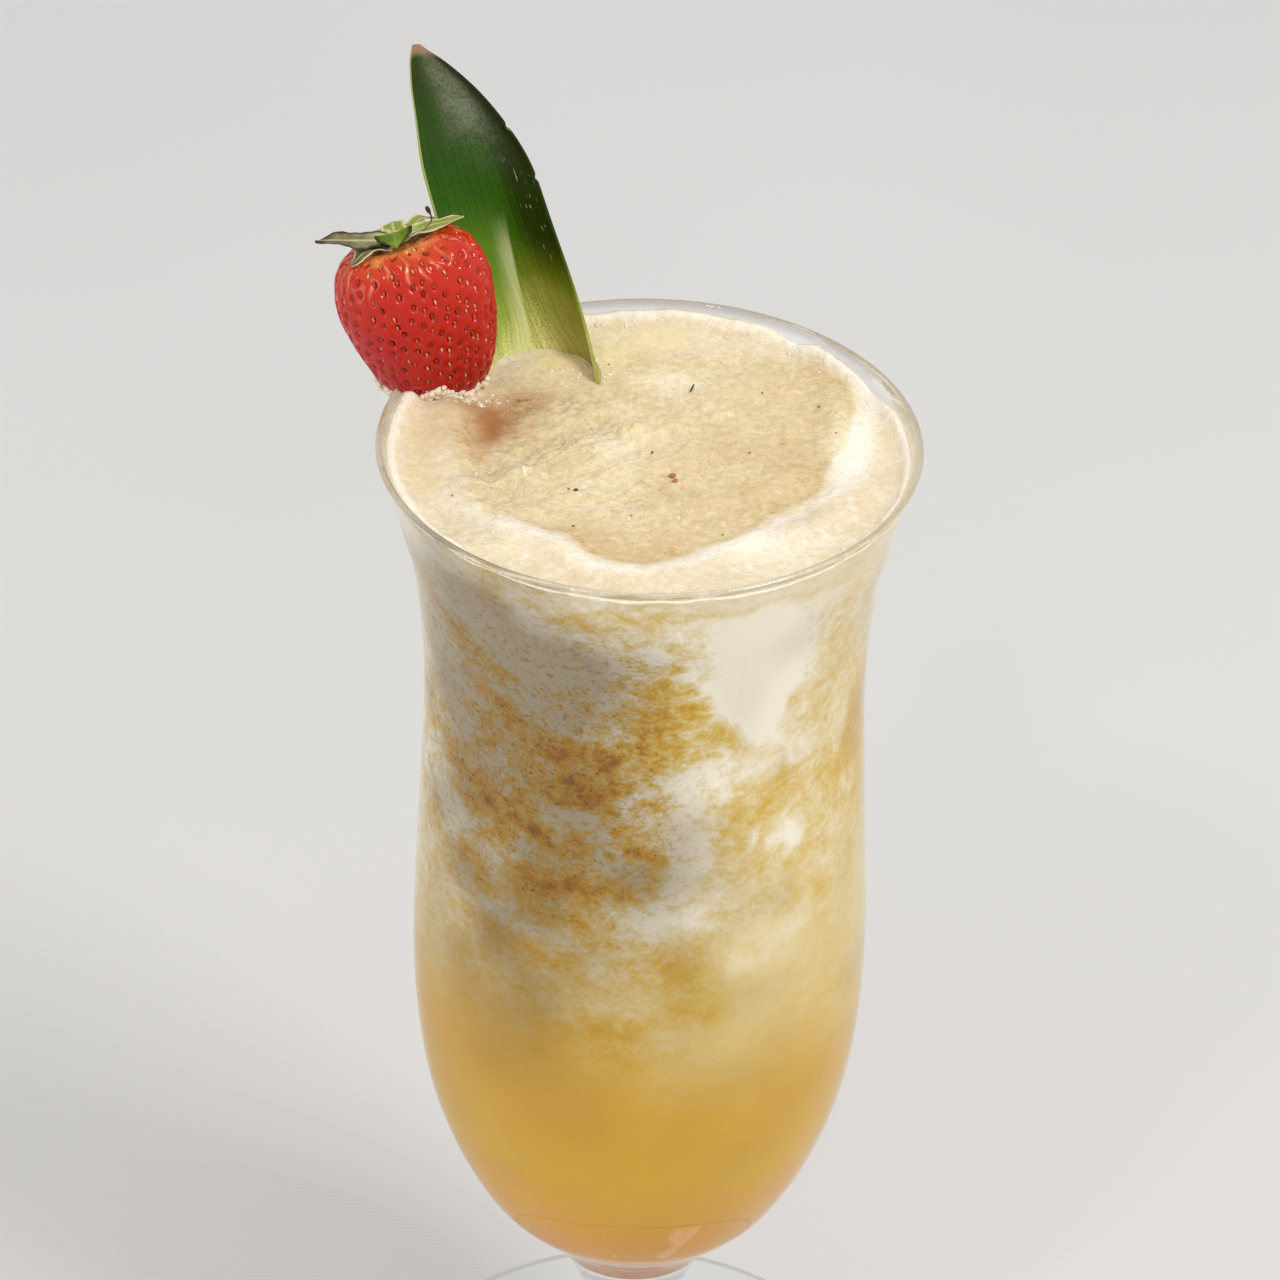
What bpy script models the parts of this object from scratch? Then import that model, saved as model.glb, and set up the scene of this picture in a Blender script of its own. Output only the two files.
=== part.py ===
"""Pineapple smoothie in a footed hurricane glass, with a strawberry on the rim and a pineapple leaf.

Metres, +Z up. The origin is the centre of the foot's underside. The side that the photograph
shows faces -Y, with +X to its right.
"""

import math

import bmesh
import bpy
import numpy as np
from mathutils import Matrix, Vector
from mathutils.geometry import delaunay_2d_cdt

MM = 0.001
GAP = 0.3 * MM  # air left between two solids that touch in the real drink

# Glass: radius and height of the outer wall, from below the rim down to the foot's top edge
GLASS_HEIGHT = 192.7 * MM
WALL = 1.6 * MM
SIDES = 48
RIM_RADIUS = 41.0 * MM
OUTER_WALL = [
    (39.5, 189.0), (37.6, 181.0), (35.2, 170.5), (33.8, 153.0), (34.4, 132.0), (35.5, 106.0),
    (35.2, 90.5), (33.4, 76.7), (29.8, 64.7), (24.8, 54.5), (19.9, 48.7), (15.2, 43.8), (10.7, 36.7),
    (7.3, 27.0), (7.6, 18.5), (11.0, 12.0), (19.0, 7.8), (31.0, 4.9), (39.0, 3.0),
]
FOOT_RADIUS = 40.15 * MM
FOOT_EDGE = 2.2 * MM
CAVITY_JOIN = 46.0 * MM  # height where the offset wall turns into the cavity's round bottom

# Drink: the froth's level at the glass, and the height where the settled juice begins
FROTH_LEVEL = GLASS_HEIGHT - 3.2 * MM
JUICE_LEVEL = 98.0 * MM
TOP_SPACING = 2.6 * MM
LAYER_SPACING = 8.0 * MM
PATH_ERROR = 0.15 * MM  # how far a facet may stray from the curve that it stands for

# Strawberry: from the calyx's seat down to the tip, and how it leans
BERRY_RADIUS = 11.6 * MM
BERRY_LENGTH = 26.8 * MM
BERRY_DEPTH_SHARE = 0.84  # it is flatter from front to back
BERRY_TOP = (-38.7 * MM, 22.8 * MM, 212.8 * MM)
BERRY_LEAN = 17.0  # degrees, tip toward +X
BERRY_NOD = 7.0  # degrees, tip toward the viewer
DIMPLES = 300
DIMPLE_DEPTH = 0.42 * MM
SLIT_DEPTH = 26.0 * MM

# Pineapple leaf: a channel, open toward the viewer, that stands in the froth and leans back
LEAF_FOOT = (-12.8 * MM, 30.4 * MM, 181.0 * MM)
LEAF_TIP = (-36.6 * MM, 44.0 * MM, 234.8 * MM)
LEAF_THICKNESS = 1.1 * MM


def clear_scene():
    for obj in list(bpy.data.objects):
        bpy.data.objects.remove(obj, do_unlink=True)


def material(name, colour, roughness, transmission=0.0):
    made = bpy.data.materials.new(name)
    made.use_nodes = True
    shader = made.node_tree.nodes["Principled BSDF"]
    shader.inputs["Base Color"].default_value = (*colour, 1.0)
    shader.inputs["Roughness"].default_value = roughness
    shader.inputs["Metallic"].default_value = 0.0
    shader.inputs["Transmission Weight"].default_value = transmission
    made.diffuse_color = (*colour, 1.0)
    return made


def add_object(name, points, faces, surface):
    """A mesh object at the origin from points in metres, with its faces turned outward."""
    mesh = bpy.data.meshes.new(name)
    mesh.from_pydata([tuple(map(float, point)) for point in points], [], faces)
    form = bmesh.new()
    form.from_mesh(mesh)
    bmesh.ops.recalc_face_normals(form, faces=form.faces)
    form.to_mesh(mesh)
    form.free()
    mesh.materials.append(surface)
    mesh.shade_smooth()
    obj = bpy.data.objects.new(name, mesh)
    bpy.context.scene.collection.objects.link(obj)
    return obj


def as_cutter(obj):
    obj.hide_render = True
    obj.display_type = "WIRE"
    return obj


def boolean(obj, other, operation="DIFFERENCE"):
    step = obj.modifiers.new(f"{operation.lower()}_{other.name}", "BOOLEAN")
    step.operation = operation
    step.object = other


def smooth_path(stations, steps):
    """Points on a Catmull-Rom curve through the stations, with `steps` spans between two of them."""
    knots = np.asarray(stations, float)
    ends = np.vstack([2 * knots[0] - knots[1], knots, 2 * knots[-1] - knots[-2]])
    path = []
    for a, b, c, d in zip(ends[:-3], ends[1:-2], ends[2:-1], ends[3:]):
        for t in np.arange(steps) / steps:
            path.append(
                0.5 * (2 * b + (c - a) * t + (2 * a - 5 * b + 4 * c - d) * t**2
                       + (3 * b - a - 3 * c + d) * t**3)
            )
    path.append(knots[-1])
    return np.array(path)


def thinned(path):
    """The path with only the points that keep it within PATH_ERROR of its full form."""
    first, last = path[0], path[-1]
    along = (last - first) / np.linalg.norm(last - first)
    away = path - first
    error = np.abs(away[:, 0] * along[1] - away[:, 1] * along[0])
    worst = int(error.argmax())
    if error[worst] <= PATH_ERROR or len(path) < 3:
        return path[[0, -1]]
    return np.vstack([thinned(path[: worst + 1])[:-1], thinned(path[worst:])])


def normals_of(path):
    """Unit normals to the left of a path's direction, in its own plane."""
    along = np.gradient(path, axis=0)
    along /= np.linalg.norm(along, axis=1)[:, None]
    return np.stack([-along[:, 1], along[:, 0]], axis=1)


def turned(name, profile, surface):
    """A solid turned about Z from a profile of (radius, height) that starts and ends on the axis."""
    form = bmesh.new()
    chain = [form.verts.new((radius, 0.0, height)) for radius, height in profile]
    edges = [form.edges.new(pair) for pair in zip(chain[:-1], chain[1:])]
    bmesh.ops.spin(
        form, geom=chain + edges, cent=(0, 0, 0), axis=(0, 0, 1), angle=math.tau,
        steps=SIDES, use_merge=True, use_duplicate=False,
    )
    bmesh.ops.remove_doubles(form, verts=form.verts, dist=1e-6)
    points = [vertex.co[:] for vertex in form.verts]
    faces = [[vertex.index for vertex in face.verts] for face in indexed(form).faces]
    form.free()
    return add_object(name, points, faces, surface)


def indexed(form):
    form.verts.ensure_lookup_table()
    form.verts.index_update()
    return form


# Glass


def bowl_outside():
    """The outer wall from just below the rim down to the foot's edge."""
    return thinned(smooth_path(OUTER_WALL, 8) * MM)


def bowl_inside():
    """The cavity's wall from the rim down to its lowest point: the outer wall moved in, then a round bottom."""
    outer = smooth_path([(RIM_RADIUS / MM, GLASS_HEIGHT / MM), *OUTER_WALL[:13]], 8) * MM
    moved = outer - WALL * normals_of(outer)
    wall = moved[(moved[:, 1] > CAVITY_JOIN) & (moved[:, 1] < GLASS_HEIGHT - 1.5 * MM)]
    slope = (wall[-2, 0] - wall[-1, 0]) / (wall[-2, 1] - wall[-1, 1])
    radius, height = wall[-1]
    steepness = 1.0 / (2 * slope * radius)
    inward = np.array([0.82, 0.6, 0.33, 0.0]) * radius
    bottom = np.stack([inward, height - steepness * (radius**2 - inward**2)], axis=1)
    return np.vstack([thinned(wall), bottom])


def rim():
    """Half a circle over the top edge, from inside to outside."""
    middle = RIM_RADIUS - WALL / 2
    turn = np.radians([165, 120, 60, 15])
    return np.stack(
        [middle + WALL / 2 * np.cos(turn), GLASS_HEIGHT - WALL / 2 + WALL / 2 * np.sin(turn)], axis=1
    )


def foot():
    """The foot's rounded edge and its flat underside, ending on the axis."""
    return np.array([
        (FOOT_RADIUS, FOOT_EDGE * 0.75),
        (FOOT_RADIUS - 0.1 * MM, FOOT_EDGE * 0.3),
        (FOOT_RADIUS - 0.8 * MM, 0.0),
        (0.0, 0.0),
    ])


def make_glass(surface):
    profile = np.vstack([bowl_inside()[::-1], rim(), bowl_outside(), foot()])
    return turned("glass", profile, surface)


# Drink


def contents_wall():
    """The rings of the cavity, from the top down to its lowest point, moved clear of the glass."""
    wall = bowl_inside()
    moved = wall - GAP * normals_of(wall)
    moved[-1] = (0.0, wall[-1, 1] + GAP)
    return moved


def froth_top(x, y):
    """Height of the froth over (x, y): a pale pillow round a darker island of pulp, with folds."""
    x, y = np.asarray(x) / MM, np.asarray(y) / MM
    radius, angle = np.hypot(x, y), np.arctan2(y, x)
    shore = 26.0 + 1.8 * np.cos(5 * (angle + 0.35)) + 12.0 * np.clip(np.sin(angle - 0.1), 0, 1)
    ring = np.exp(-(((radius - shore - 3.5) / 3.2) ** 2))
    height = 0.9 * ring - 0.4 / (1 + np.exp((radius - shore) / 0.7))
    for x0, y0, x1, y1, width, rise in FOLDS:
        along = np.array([x1 - x0, y1 - y0])
        length = np.hypot(*along)
        t = np.clip(((x - x0) * along[0] + (y - y0) * along[1]) / length**2, 0, 1)
        bend = 1.4 * np.sin(math.pi * t)
        px = x0 + along[0] * t + bend * along[1] / length
        py = y0 + along[1] * t - bend * along[0] / length
        height = height + rise * np.exp(-((np.hypot(x - px, y - py) / width) ** 2))
    height = height + 0.22 * np.sin(0.55 * x + 0.9 * np.sin(0.31 * y)) * np.cos(0.47 * y + 0.2 * x)
    return FROTH_LEVEL + height * MM


# Folds of the froth's top in mm: from (x, y) to (x, y), half width, rise
FOLDS = [
    (-30, -6, -7, 12, 1.3, -0.9),
    (-28, -8, -12, 1, 1.8, 0.9),
    (-22, -2, -9, -10, 2.0, 1.0),
    (-15, 1, -1, 9, 2.2, 1.1),
    (-6, -4, 6, 2, 2.4, 0.8),
    (-29, -14, -14, -13, 1.8, 0.8),
    (-25, 7, -23, 13, 3.0, -1.5),
    (4, -6, 4, -5, 1.6, 0.9),
    (-2, 24, 14, 22, 3.0, 0.6),
    (10, -12, 20, -4, 3.4, 0.5),
    (-36, 13, -27, 12, 2.2, 1.2),
    (-25, -24, -12, -25, 3.6, 0.8),
    (22, 32, 34, 18, 2.8, -1.5),
]


def juice_top(x, y):
    """Height of the soft border between the froth and the settled juice."""
    x, y = np.asarray(x) / MM, np.asarray(y) / MM
    wave = 1.3 * np.sin(0.11 * x + 0.08 * y + 1.9) + 0.8 * np.cos(0.19 * y - 0.07 * x)
    return JUICE_LEVEL + (wave - 0.035 * x) * MM


def disc(radii, spacing):
    """Points and triangles of a flat disc whose edge has these radii, with an even net of points inside."""
    turn = np.arange(SIDES) * math.tau / SIDES
    edge = np.stack([radii * np.cos(turn), radii * np.sin(turn)], axis=1)
    row = np.arange(-40, 41)
    across, up = np.meshgrid(row, row)
    net = np.stack([(across + 0.5 * (up % 2)) * spacing, up * spacing * math.sqrt(0.75)], axis=-1)
    net = net.reshape(-1, 2)
    inside = net[np.hypot(net[:, 0], net[:, 1]) < radii.min() - 0.55 * spacing]
    points = np.vstack([edge, inside])
    loop = [(i, (i + 1) % SIDES) for i in range(SIDES)]
    found = delaunay_2d_cdt([Vector(p) for p in points], loop, [], 1, 1e-7)
    return np.array([point[:] for point in found[0]]), [list(face) for face in found[2]]


def layer(name, bottom_height, top_height, spacing_top, surface):
    """A solid that fills the cavity between two surfaces; with no bottom surface it ends at the cavity's foot."""
    wall = contents_wall()[:-1]
    turn = np.arange(SIDES) * math.tau / SIDES

    def edge_of(height):
        """Radius and height where a surface meets the wall, one for each side."""
        radii = np.full(SIDES, 30 * MM)
        for _ in range(12):
            levels = height(radii * np.cos(turn), radii * np.sin(turn))
            radii = np.interp(levels, wall[::-1, 1], wall[::-1, 0])
        return radii, levels

    top_radii, top_levels = edge_of(top_height)
    rings = [(top_radii, top_levels)]
    lowest = -1.0
    if bottom_height:
        bottom_ring = edge_of(bottom_height)
        lowest = bottom_ring[1].max() + 1.5 * MM
    for radius, level in wall:
        if lowest < level < top_levels.min() - 1.2 * MM:
            rings.append((np.full(SIDES, radius), np.full(SIDES, level)))
    if bottom_height:
        rings.append(bottom_ring)
    points = []
    for radii, levels in rings:
        points += list(zip(radii * np.cos(turn), radii * np.sin(turn), levels))
    faces = []
    for ring in range(len(rings) - 1):
        for i in range(SIDES):
            a, b = ring * SIDES + i, ring * SIDES + (i + 1) % SIDES
            faces += [(a, b, b + SIDES), (a, b + SIDES, a + SIDES)]
    faces += cap(points, 0, top_radii, spacing_top, top_height)
    last = (len(rings) - 1) * SIDES
    if bottom_height:
        faces += cap(points, last, rings[-1][0], LAYER_SPACING, bottom_height)
    else:
        points.append((0.0, 0.0, contents_wall()[-1, 1]))
        faces += [(last + i, last + (i + 1) % SIDES, len(points) - 1) for i in range(SIDES)]
    return add_object(name, points, faces, surface)


def cap(points, first, radii, spacing, height):
    """Triangles that close the ring of points starting at `first`; the inner points are added to the list."""
    flat, triangles = disc(radii, spacing)
    inner = flat[SIDES:]
    start = len(points)
    points += list(zip(inner[:, 0], inner[:, 1], height(inner[:, 0], inner[:, 1])))
    number = [first + i for i in range(SIDES)] + [start + i for i in range(len(inner))]
    return [tuple(number[i] for i in face) for face in triangles]


def make_drink(juice_surface, froth_surface):
    juice = layer("juice", None, juice_top, LAYER_SPACING, juice_surface)
    froth = layer("froth", lambda x, y: juice_top(x, y) + GAP, froth_top, TOP_SPACING, froth_surface)
    return juice, froth


# Strawberry


def berry_outline():
    """(radius, depth below the seat) along the berry from the seat to the tip."""
    shares = [
        (0.0, 0.025), (0.28, 0.016), (0.55, 0.0), (0.84, 0.065), (0.97, 0.19), (1.0, 0.33), (0.95, 0.49),
        (0.86, 0.65), (0.74, 0.8), (0.55, 0.925), (0.29, 0.985), (0.0, 1.0),
    ]
    return smooth_path(shares, 6) * np.array([BERRY_RADIUS, BERRY_LENGTH])


def berry_surface(arc, turn, lift=0.0):
    """Points on the berry in its own frame; arc runs 0 to 1 from seat to tip, lift is outward."""
    outline = berry_outline()
    run = np.concatenate([[0], np.cumsum(np.linalg.norm(np.diff(outline, axis=0), axis=1))])
    normal = normals_of(outline)
    normal[0], normal[-1] = (0, -1), (0, 1)
    at = np.clip(arc, 0, 1) * run[-1]
    radius = np.interp(at, run, outline[:, 0])
    depth = np.interp(at, run, outline[:, 1])
    out_r = np.interp(at, run, normal[:, 0])
    out_d = np.interp(at, run, normal[:, 1])
    sign = np.where(np.interp(0.5 * run[-1], run, normal[:, 0]) > 0, 1, -1)
    lump = 1 + 0.035 * np.cos(3 * turn + 0.6) + 0.03 * np.cos(2 * turn - 0.9)
    radius = radius * lump + lift * sign * out_r
    depth = depth + lift * np.abs(out_d) * np.where(arc > 0.5, 1, -1)
    return np.stack(
        [radius * np.cos(turn), BERRY_DEPTH_SHARE * radius * np.sin(turn), -depth], axis=-1
    )


def berry_frame():
    lean = Matrix.Rotation(math.radians(-BERRY_LEAN), 4, "Y")
    nod = Matrix.Rotation(math.radians(-BERRY_NOD), 4, "X")
    return Matrix.Translation(BERRY_TOP) @ nod @ lean


def sphere_net(count):
    """Directions spread evenly over a sphere by the golden angle."""
    step = np.arange(count) + 0.5
    polar = np.arccos(1 - 2 * step / count)
    turn = step * math.pi * (3 - math.sqrt(5))
    return np.stack([np.sin(polar) * np.cos(turn), np.sin(polar) * np.sin(turn), np.cos(polar)], axis=1)


def hull_triangles(directions):
    """The triangles of the convex hull of points on a unit sphere."""
    form = bmesh.new()
    for direction in directions:
        form.verts.new(direction)
    indexed(form)
    bmesh.ops.convex_hull(form, input=form.verts, use_existing_faces=False)
    triangles = [[vertex.index for vertex in face.verts] for face in form.faces]
    form.free()
    return triangles


def berry_points(directions, lift):
    polar = np.arccos(np.clip(directions[:, 2], -1, 1))
    turn = np.arctan2(directions[:, 1], directions[:, 0])
    local = berry_surface(polar / math.pi, turn, lift)
    frame = np.array(berry_frame())
    return local @ frame[:3, :3].T + frame[:3, 3]


def make_strawberry(surface):
    """One seed dimple at each direction of the net, with the skin standing up between them."""
    dimples = sphere_net(DIMPLES)
    corners = []
    for triangle in hull_triangles(dimples):
        middle = dimples[triangle].sum(axis=0)
        corners.append(middle / np.linalg.norm(middle))
    directions = np.vstack([dimples, corners])
    lift = np.concatenate([np.full(DIMPLES, -DIMPLE_DEPTH), np.zeros(len(corners))])
    berry = add_object(
        "strawberry", berry_points(directions, lift), hull_triangles(directions), surface
    )
    boolean(berry, rim_cutter(surface))
    return berry


def rim_cutter(surface):
    """The glass wall near the rim, made thicker by the gap all round, which leaves the berry's slit."""
    outer = np.vstack([rim()[2:], bowl_outside()])
    inner = np.vstack([bowl_inside(), rim()[:2]])
    low = GLASS_HEIGHT - SLIT_DEPTH
    outer = outer[outer[:, 1] > low] + np.array([1.3 * GAP, 0])
    inner = inner[inner[:, 1] > low] - np.array([1.3 * GAP, 0])
    inner = inner[np.argsort(inner[:, 1])]
    outer = outer[np.argsort(-outer[:, 1])]
    top = np.array([(RIM_RADIUS - WALL / 2, GLASS_HEIGHT + 1.3 * GAP)])
    profile = np.vstack([inner, top, outer])
    points, faces = [], []
    count = len(profile)
    for i in range(SIDES):
        turn = i * math.tau / SIDES
        points += [(r * math.cos(turn), r * math.sin(turn), z) for r, z in profile]
        for k in range(count):
            a, b = i * count + k, i * count + (k + 1) % count
            other = ((i + 1) % SIDES) * count
            faces.append((a, b, other + (k + 1) % count, other + k))
    return as_cutter(add_object("rim_slit", points, faces, surface))


def berry_cutter(surface):
    directions = sphere_net(260)
    points = berry_points(directions, 1.6 * GAP)
    return as_cutter(add_object("berry_room", points, hull_triangles(directions), surface))


# Calyx

# Sepals: direction on the seat in degrees (0 is +X), length, width and rise of the middle in mm,
# and how free they stand: 0 follows the berry, 1 runs straight out at the pitch in degrees
SEPALS = [
    (184, 11.6, 3.2, 0.2, 1.0, 18.0),
    (222, 7.4, 3.6, 0.0, 0.0, 0.0),
    (278, 6.6, 4.8, 1.6, 0.0, 0.0),
    (4, 9.8, 3.8, 0.5, 0.5, 4.0),
    (48, 8.0, 3.6, 0.0, 0.0, 0.0),
    (96, 8.6, 4.0, 0.4, 0.3, 8.0),
    (140, 8.2, 3.8, 0.0, 0.0, 0.0),
]
SEPAL_LIFT = 0.85 * MM
SEPAL_THICKNESS = 0.55 * MM


def sepal(turn, length, width, rise, free, pitch, surface):
    """A pointed strip over the berry's shoulder, slightly cupped and wavy, both faces split alike."""
    steps, across = 7, 2
    outline = berry_outline()
    whole = np.linalg.norm(np.diff(outline, axis=0), axis=1).sum()
    t = np.linspace(0, 1, steps + 1)
    arc = (0.8 * MM + length * MM * t) / whole
    half = 0.5 * width * MM * np.clip(np.sin(math.pi * np.clip(0.2 + 0.8 * t, 0, 1)) ** 0.8, 0.06, 1)
    lift = SEPAL_LIFT + rise * MM * np.sin(math.pi * t**0.7)
    u = np.linspace(-1, 1, across + 1)
    middle = berry_surface(arc, np.full(t.size, math.radians(turn)), lift)
    pitch = math.radians(pitch)
    out = np.array([math.cos(math.radians(turn)), math.sin(math.radians(turn)), math.tan(pitch)])
    straight = middle[0] + length * MM * math.cos(pitch) * t[:, None] * out
    middle = middle + free * (straight - middle)
    side = np.array([-math.sin(math.radians(turn)), math.cos(math.radians(turn)), 0.0])
    up = np.gradient(middle, axis=0)
    up = np.cross(up, side)
    up /= np.linalg.norm(up, axis=1)[:, None]
    up *= np.where(up[:, 2:] < 0, -1, 1)
    cup = 0.25 * MM * (u[None, :] ** 2) * np.sin(math.pi * t)[:, None]
    cup = cup + 0.12 * MM * np.sin(9 * t + 1.3 * turn)[:, None] * np.abs(u)[None, :]
    sheet = middle[:, None] + half[:, None, None] * u[None, :, None] * side + cup[..., None] * up[:, None]
    frame = np.array(berry_frame())
    layers = [sheet + up[:, None] * SEPAL_THICKNESS / 2, sheet - up[:, None] * SEPAL_THICKNESS / 2]
    return slab("sepal", layers, frame, surface)


def slab(name, layers, frame, surface):
    """A closed thin solid between two like grids of points, both split into the same triangles."""
    rows, columns = layers[0].shape[:2]
    points = np.concatenate([grid.reshape(-1, 3) for grid in layers])
    points = points @ frame[:3, :3].T + frame[:3, 3]
    size = rows * columns
    faces = []
    for i in range(rows - 1):
        for k in range(columns - 1):
            a, b = i * columns + k, (i + 1) * columns + k
            faces += [(a, a + 1, b + 1), (a, b + 1, b)]
            faces += [(a + size, b + 1 + size, a + 1 + size), (a + size, b + size, b + 1 + size)]
    border = [k for k in range(columns)]
    border += [i * columns + columns - 1 for i in range(1, rows)]
    border += [(rows - 1) * columns + k for k in range(columns - 2, -1, -1)]
    border += [i * columns for i in range(rows - 2, 0, -1)]
    for a, b in zip(border, border[1:] + border[:1]):
        faces += [(a, b, b + size), (a, b + size, a + size)]
    return add_object(name, points, faces, surface)


def make_calyx(surface):
    """A small round cap with the sepals fused to it."""
    form = bmesh.new()
    bmesh.ops.create_uvsphere(form, u_segments=16, v_segments=8, radius=1.0)
    frame = np.array(berry_frame())
    middle = np.array([0.0, 0.0, 0.45 * MM])
    size = np.array([2.5 * MM, 2.2 * MM, 0.7 * MM])
    points = np.array([vertex.co[:] for vertex in form.verts]) * size + middle
    points = points @ frame[:3, :3].T + frame[:3, 3]
    faces = [[vertex.index for vertex in face.verts] for face in indexed(form).faces]
    form.free()
    calyx = add_object("calyx", points, faces, surface)
    group = bpy.data.collections.new("sepals")
    for values in SEPALS:
        piece = sepal(*values, surface)
        bpy.context.scene.collection.objects.unlink(piece)
        group.objects.link(as_cutter(piece))
    step = calyx.modifiers.new("sepals", "BOOLEAN")
    step.operation = "UNION"
    step.operand_type = "COLLECTION"
    step.collection = group
    bpy.context.scene.collection.children.link(group)
    return calyx


# Pineapple leaf


def leaf_sheets(margin):
    """The leaf's two faces as grids of points: along it from the cut foot to the tip, and across it."""
    steps, across = 22, 10
    t = np.linspace(0, 1, steps + 1)
    u = np.linspace(-1, 1, across + 1)
    foot_point, tip_point = np.array(LEAF_FOOT), np.array(LEAF_TIP)
    spine = foot_point + (tip_point - foot_point) * t[:, None]
    spine[:, 0] += 2.4 * MM * np.sin(math.pi * t**2.8)
    spine[:, 1] += (tip_point[1] - foot_point[1]) * (t**1.3 - t)
    half = np.interp(t, [0, 0.17, 0.4, 0.58, 0.72, 0.86, 0.95, 1], [8.0, 8.5, 8.9, 8.7, 8.1, 5.8, 3, 0.5]) * MM
    bend = np.radians(np.interp(t, [0, 0.15, 0.28, 0.5, 1.0], [104, 102, 52, 36, 30]))
    radius = half / np.sin(np.minimum(bend, math.pi / 2))
    turn = u[None, :] * bend[:, None]
    wave = 0.25 * MM * np.sin(21 * t)[:, None] * u[None, :] ** 3
    x = spine[:, 0, None] + radius[:, None] * np.sin(turn)
    y = spine[:, 1, None] - radius[:, None] * (1 - np.cos(turn)) + wave
    z = spine[:, 2, None] + 0.0 * turn
    sheet = np.stack([x, y, z], axis=-1)
    out = np.cross(np.gradient(sheet, axis=1), np.gradient(sheet, axis=0))
    out /= np.linalg.norm(out, axis=-1)[..., None]
    thick = LEAF_THICKNESS * (1 - 0.45 * u[None, :] ** 2) * (1 - 0.5 * t[:, None])
    shift = out * (thick[..., None] / 2 + margin)
    return [sheet + shift, sheet - shift]


def make_leaf(surface):
    return slab("pineapple_leaf", leaf_sheets(0.0), np.eye(4), surface)


def leaf_cutter(surface):
    sheets = leaf_sheets(1.2 * GAP)
    for sheet in sheets:
        sheet[0, :, 2] -= 1.2 * GAP
        edge = sheet[:, -1] - sheet[:, -2]
        sheet[:, -1] += edge / np.linalg.norm(edge, axis=1)[:, None] * 1.2 * GAP
        edge = sheet[:, 0] - sheet[:, 1]
        sheet[:, 0] += edge / np.linalg.norm(edge, axis=1)[:, None] * 1.2 * GAP
    return as_cutter(slab("leaf_room", sheets, np.eye(4), surface))


def build():
    clear_scene()
    make_glass(material("clear_glass", (0.93, 0.95, 0.95), 0.02, 1.0))
    froth_surface = material("froth", (0.86, 0.77, 0.55), 0.45)
    juice, froth = make_drink(material("juice", (0.63, 0.36, 0.07), 0.25), froth_surface)
    red = material("strawberry_red", (0.58, 0.035, 0.02), 0.3)
    green = material("leaf_green", (0.05, 0.16, 0.025), 0.4)
    make_strawberry(red)
    make_calyx(material("calyx_green", (0.24, 0.3, 0.1), 0.6))
    make_leaf(green)
    boolean(froth, berry_cutter(red))
    boolean(froth, leaf_cutter(green))


build()
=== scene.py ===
import math

import bmesh
import bpy
import numpy as np
from mathutils import Matrix


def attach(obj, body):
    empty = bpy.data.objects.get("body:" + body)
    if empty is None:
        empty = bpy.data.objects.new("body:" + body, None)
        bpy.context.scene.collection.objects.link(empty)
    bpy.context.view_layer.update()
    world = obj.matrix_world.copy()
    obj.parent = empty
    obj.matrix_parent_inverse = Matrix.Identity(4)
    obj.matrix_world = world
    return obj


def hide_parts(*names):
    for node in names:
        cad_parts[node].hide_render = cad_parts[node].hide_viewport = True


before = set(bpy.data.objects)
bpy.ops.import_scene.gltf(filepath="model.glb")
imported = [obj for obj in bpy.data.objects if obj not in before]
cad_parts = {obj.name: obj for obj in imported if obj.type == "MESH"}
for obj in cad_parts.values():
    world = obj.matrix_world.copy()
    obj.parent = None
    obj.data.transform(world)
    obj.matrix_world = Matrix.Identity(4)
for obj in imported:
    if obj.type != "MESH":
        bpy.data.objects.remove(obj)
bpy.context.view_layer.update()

# Glass: a footed hurricane glass of clear soda glass. Its bowl is blown with a flared mouth and a fire
# polished lip, the stem is drawn out of the bowl's base, and a flat round foot is pressed onto it.

MM = 0.001
GLASS_HEIGHT, RIM_RADIUS = 192.7, 41.0
WALL, LIP = 1.6, 1.15
FOOT_RADIUS, FOOT_EDGE = 40.15, 2.2
CAVITY_JOIN = 46.0
GLASS_SIDES = 144
# (radius, height) down the outside; the first 13 are the bowl, then come the stem and the foot
OUTER_WALL = [
    (39.5, 189.0), (37.6, 181.0), (35.2, 170.5), (33.8, 153.0), (34.4, 132.0), (35.5, 106.0),
    (35.2, 90.5), (33.4, 76.7), (29.8, 64.7), (24.8, 54.5), (19.9, 48.7), (15.2, 43.8), (10.7, 36.7),
    (7.3, 27.0), (7.6, 18.5), (11.0, 12.0), (19.0, 7.8), (31.0, 4.9), (39.0, 3.0),
]
BOWL_STATIONS = 13
# Linear tints: the clear body, the lip, the foot's edge and stem, and rays that go straight through; the lip,
# foot and stem tints are painted dark reflections of dark surroundings
CLEAR, LIP_PAINTED_DARK = (0.985, 0.992, 0.99, 1.0), (0.62, 0.58, 0.53, 1.0)
FOOT_PAINTED_DARK, PASSED = (0.42, 0.43, 0.43, 1.0), (0.97, 0.98, 0.975, 1.0)
MOST_FACES = 4.5


def curve_through(stations, steps):
    """A Catmull-Rom curve: between two stations, the four nearest ones weighted by cubics of t."""
    knots = np.asarray(stations, float)
    ends = np.vstack([2 * knots[0] - knots[1], knots, 2 * knots[-1] - knots[-2]])
    t = (np.arange(steps) / steps)[None, :, None]
    a, b, c, d = (ends[i : len(ends) - 3 + i, None] for i in range(4))
    spans = 0.5 * (
        2 * b + (c - a) * t + (2 * a - 5 * b + 4 * c - d) * t**2 + (3 * b - a - 3 * c + d) * t**3)
    return np.vstack([spans.reshape(-1, knots.shape[1]), knots[-1:]])


def unit(ways):
    """Each direction divided by its length."""
    return ways / np.linalg.norm(ways, axis=-1)[..., None]


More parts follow.
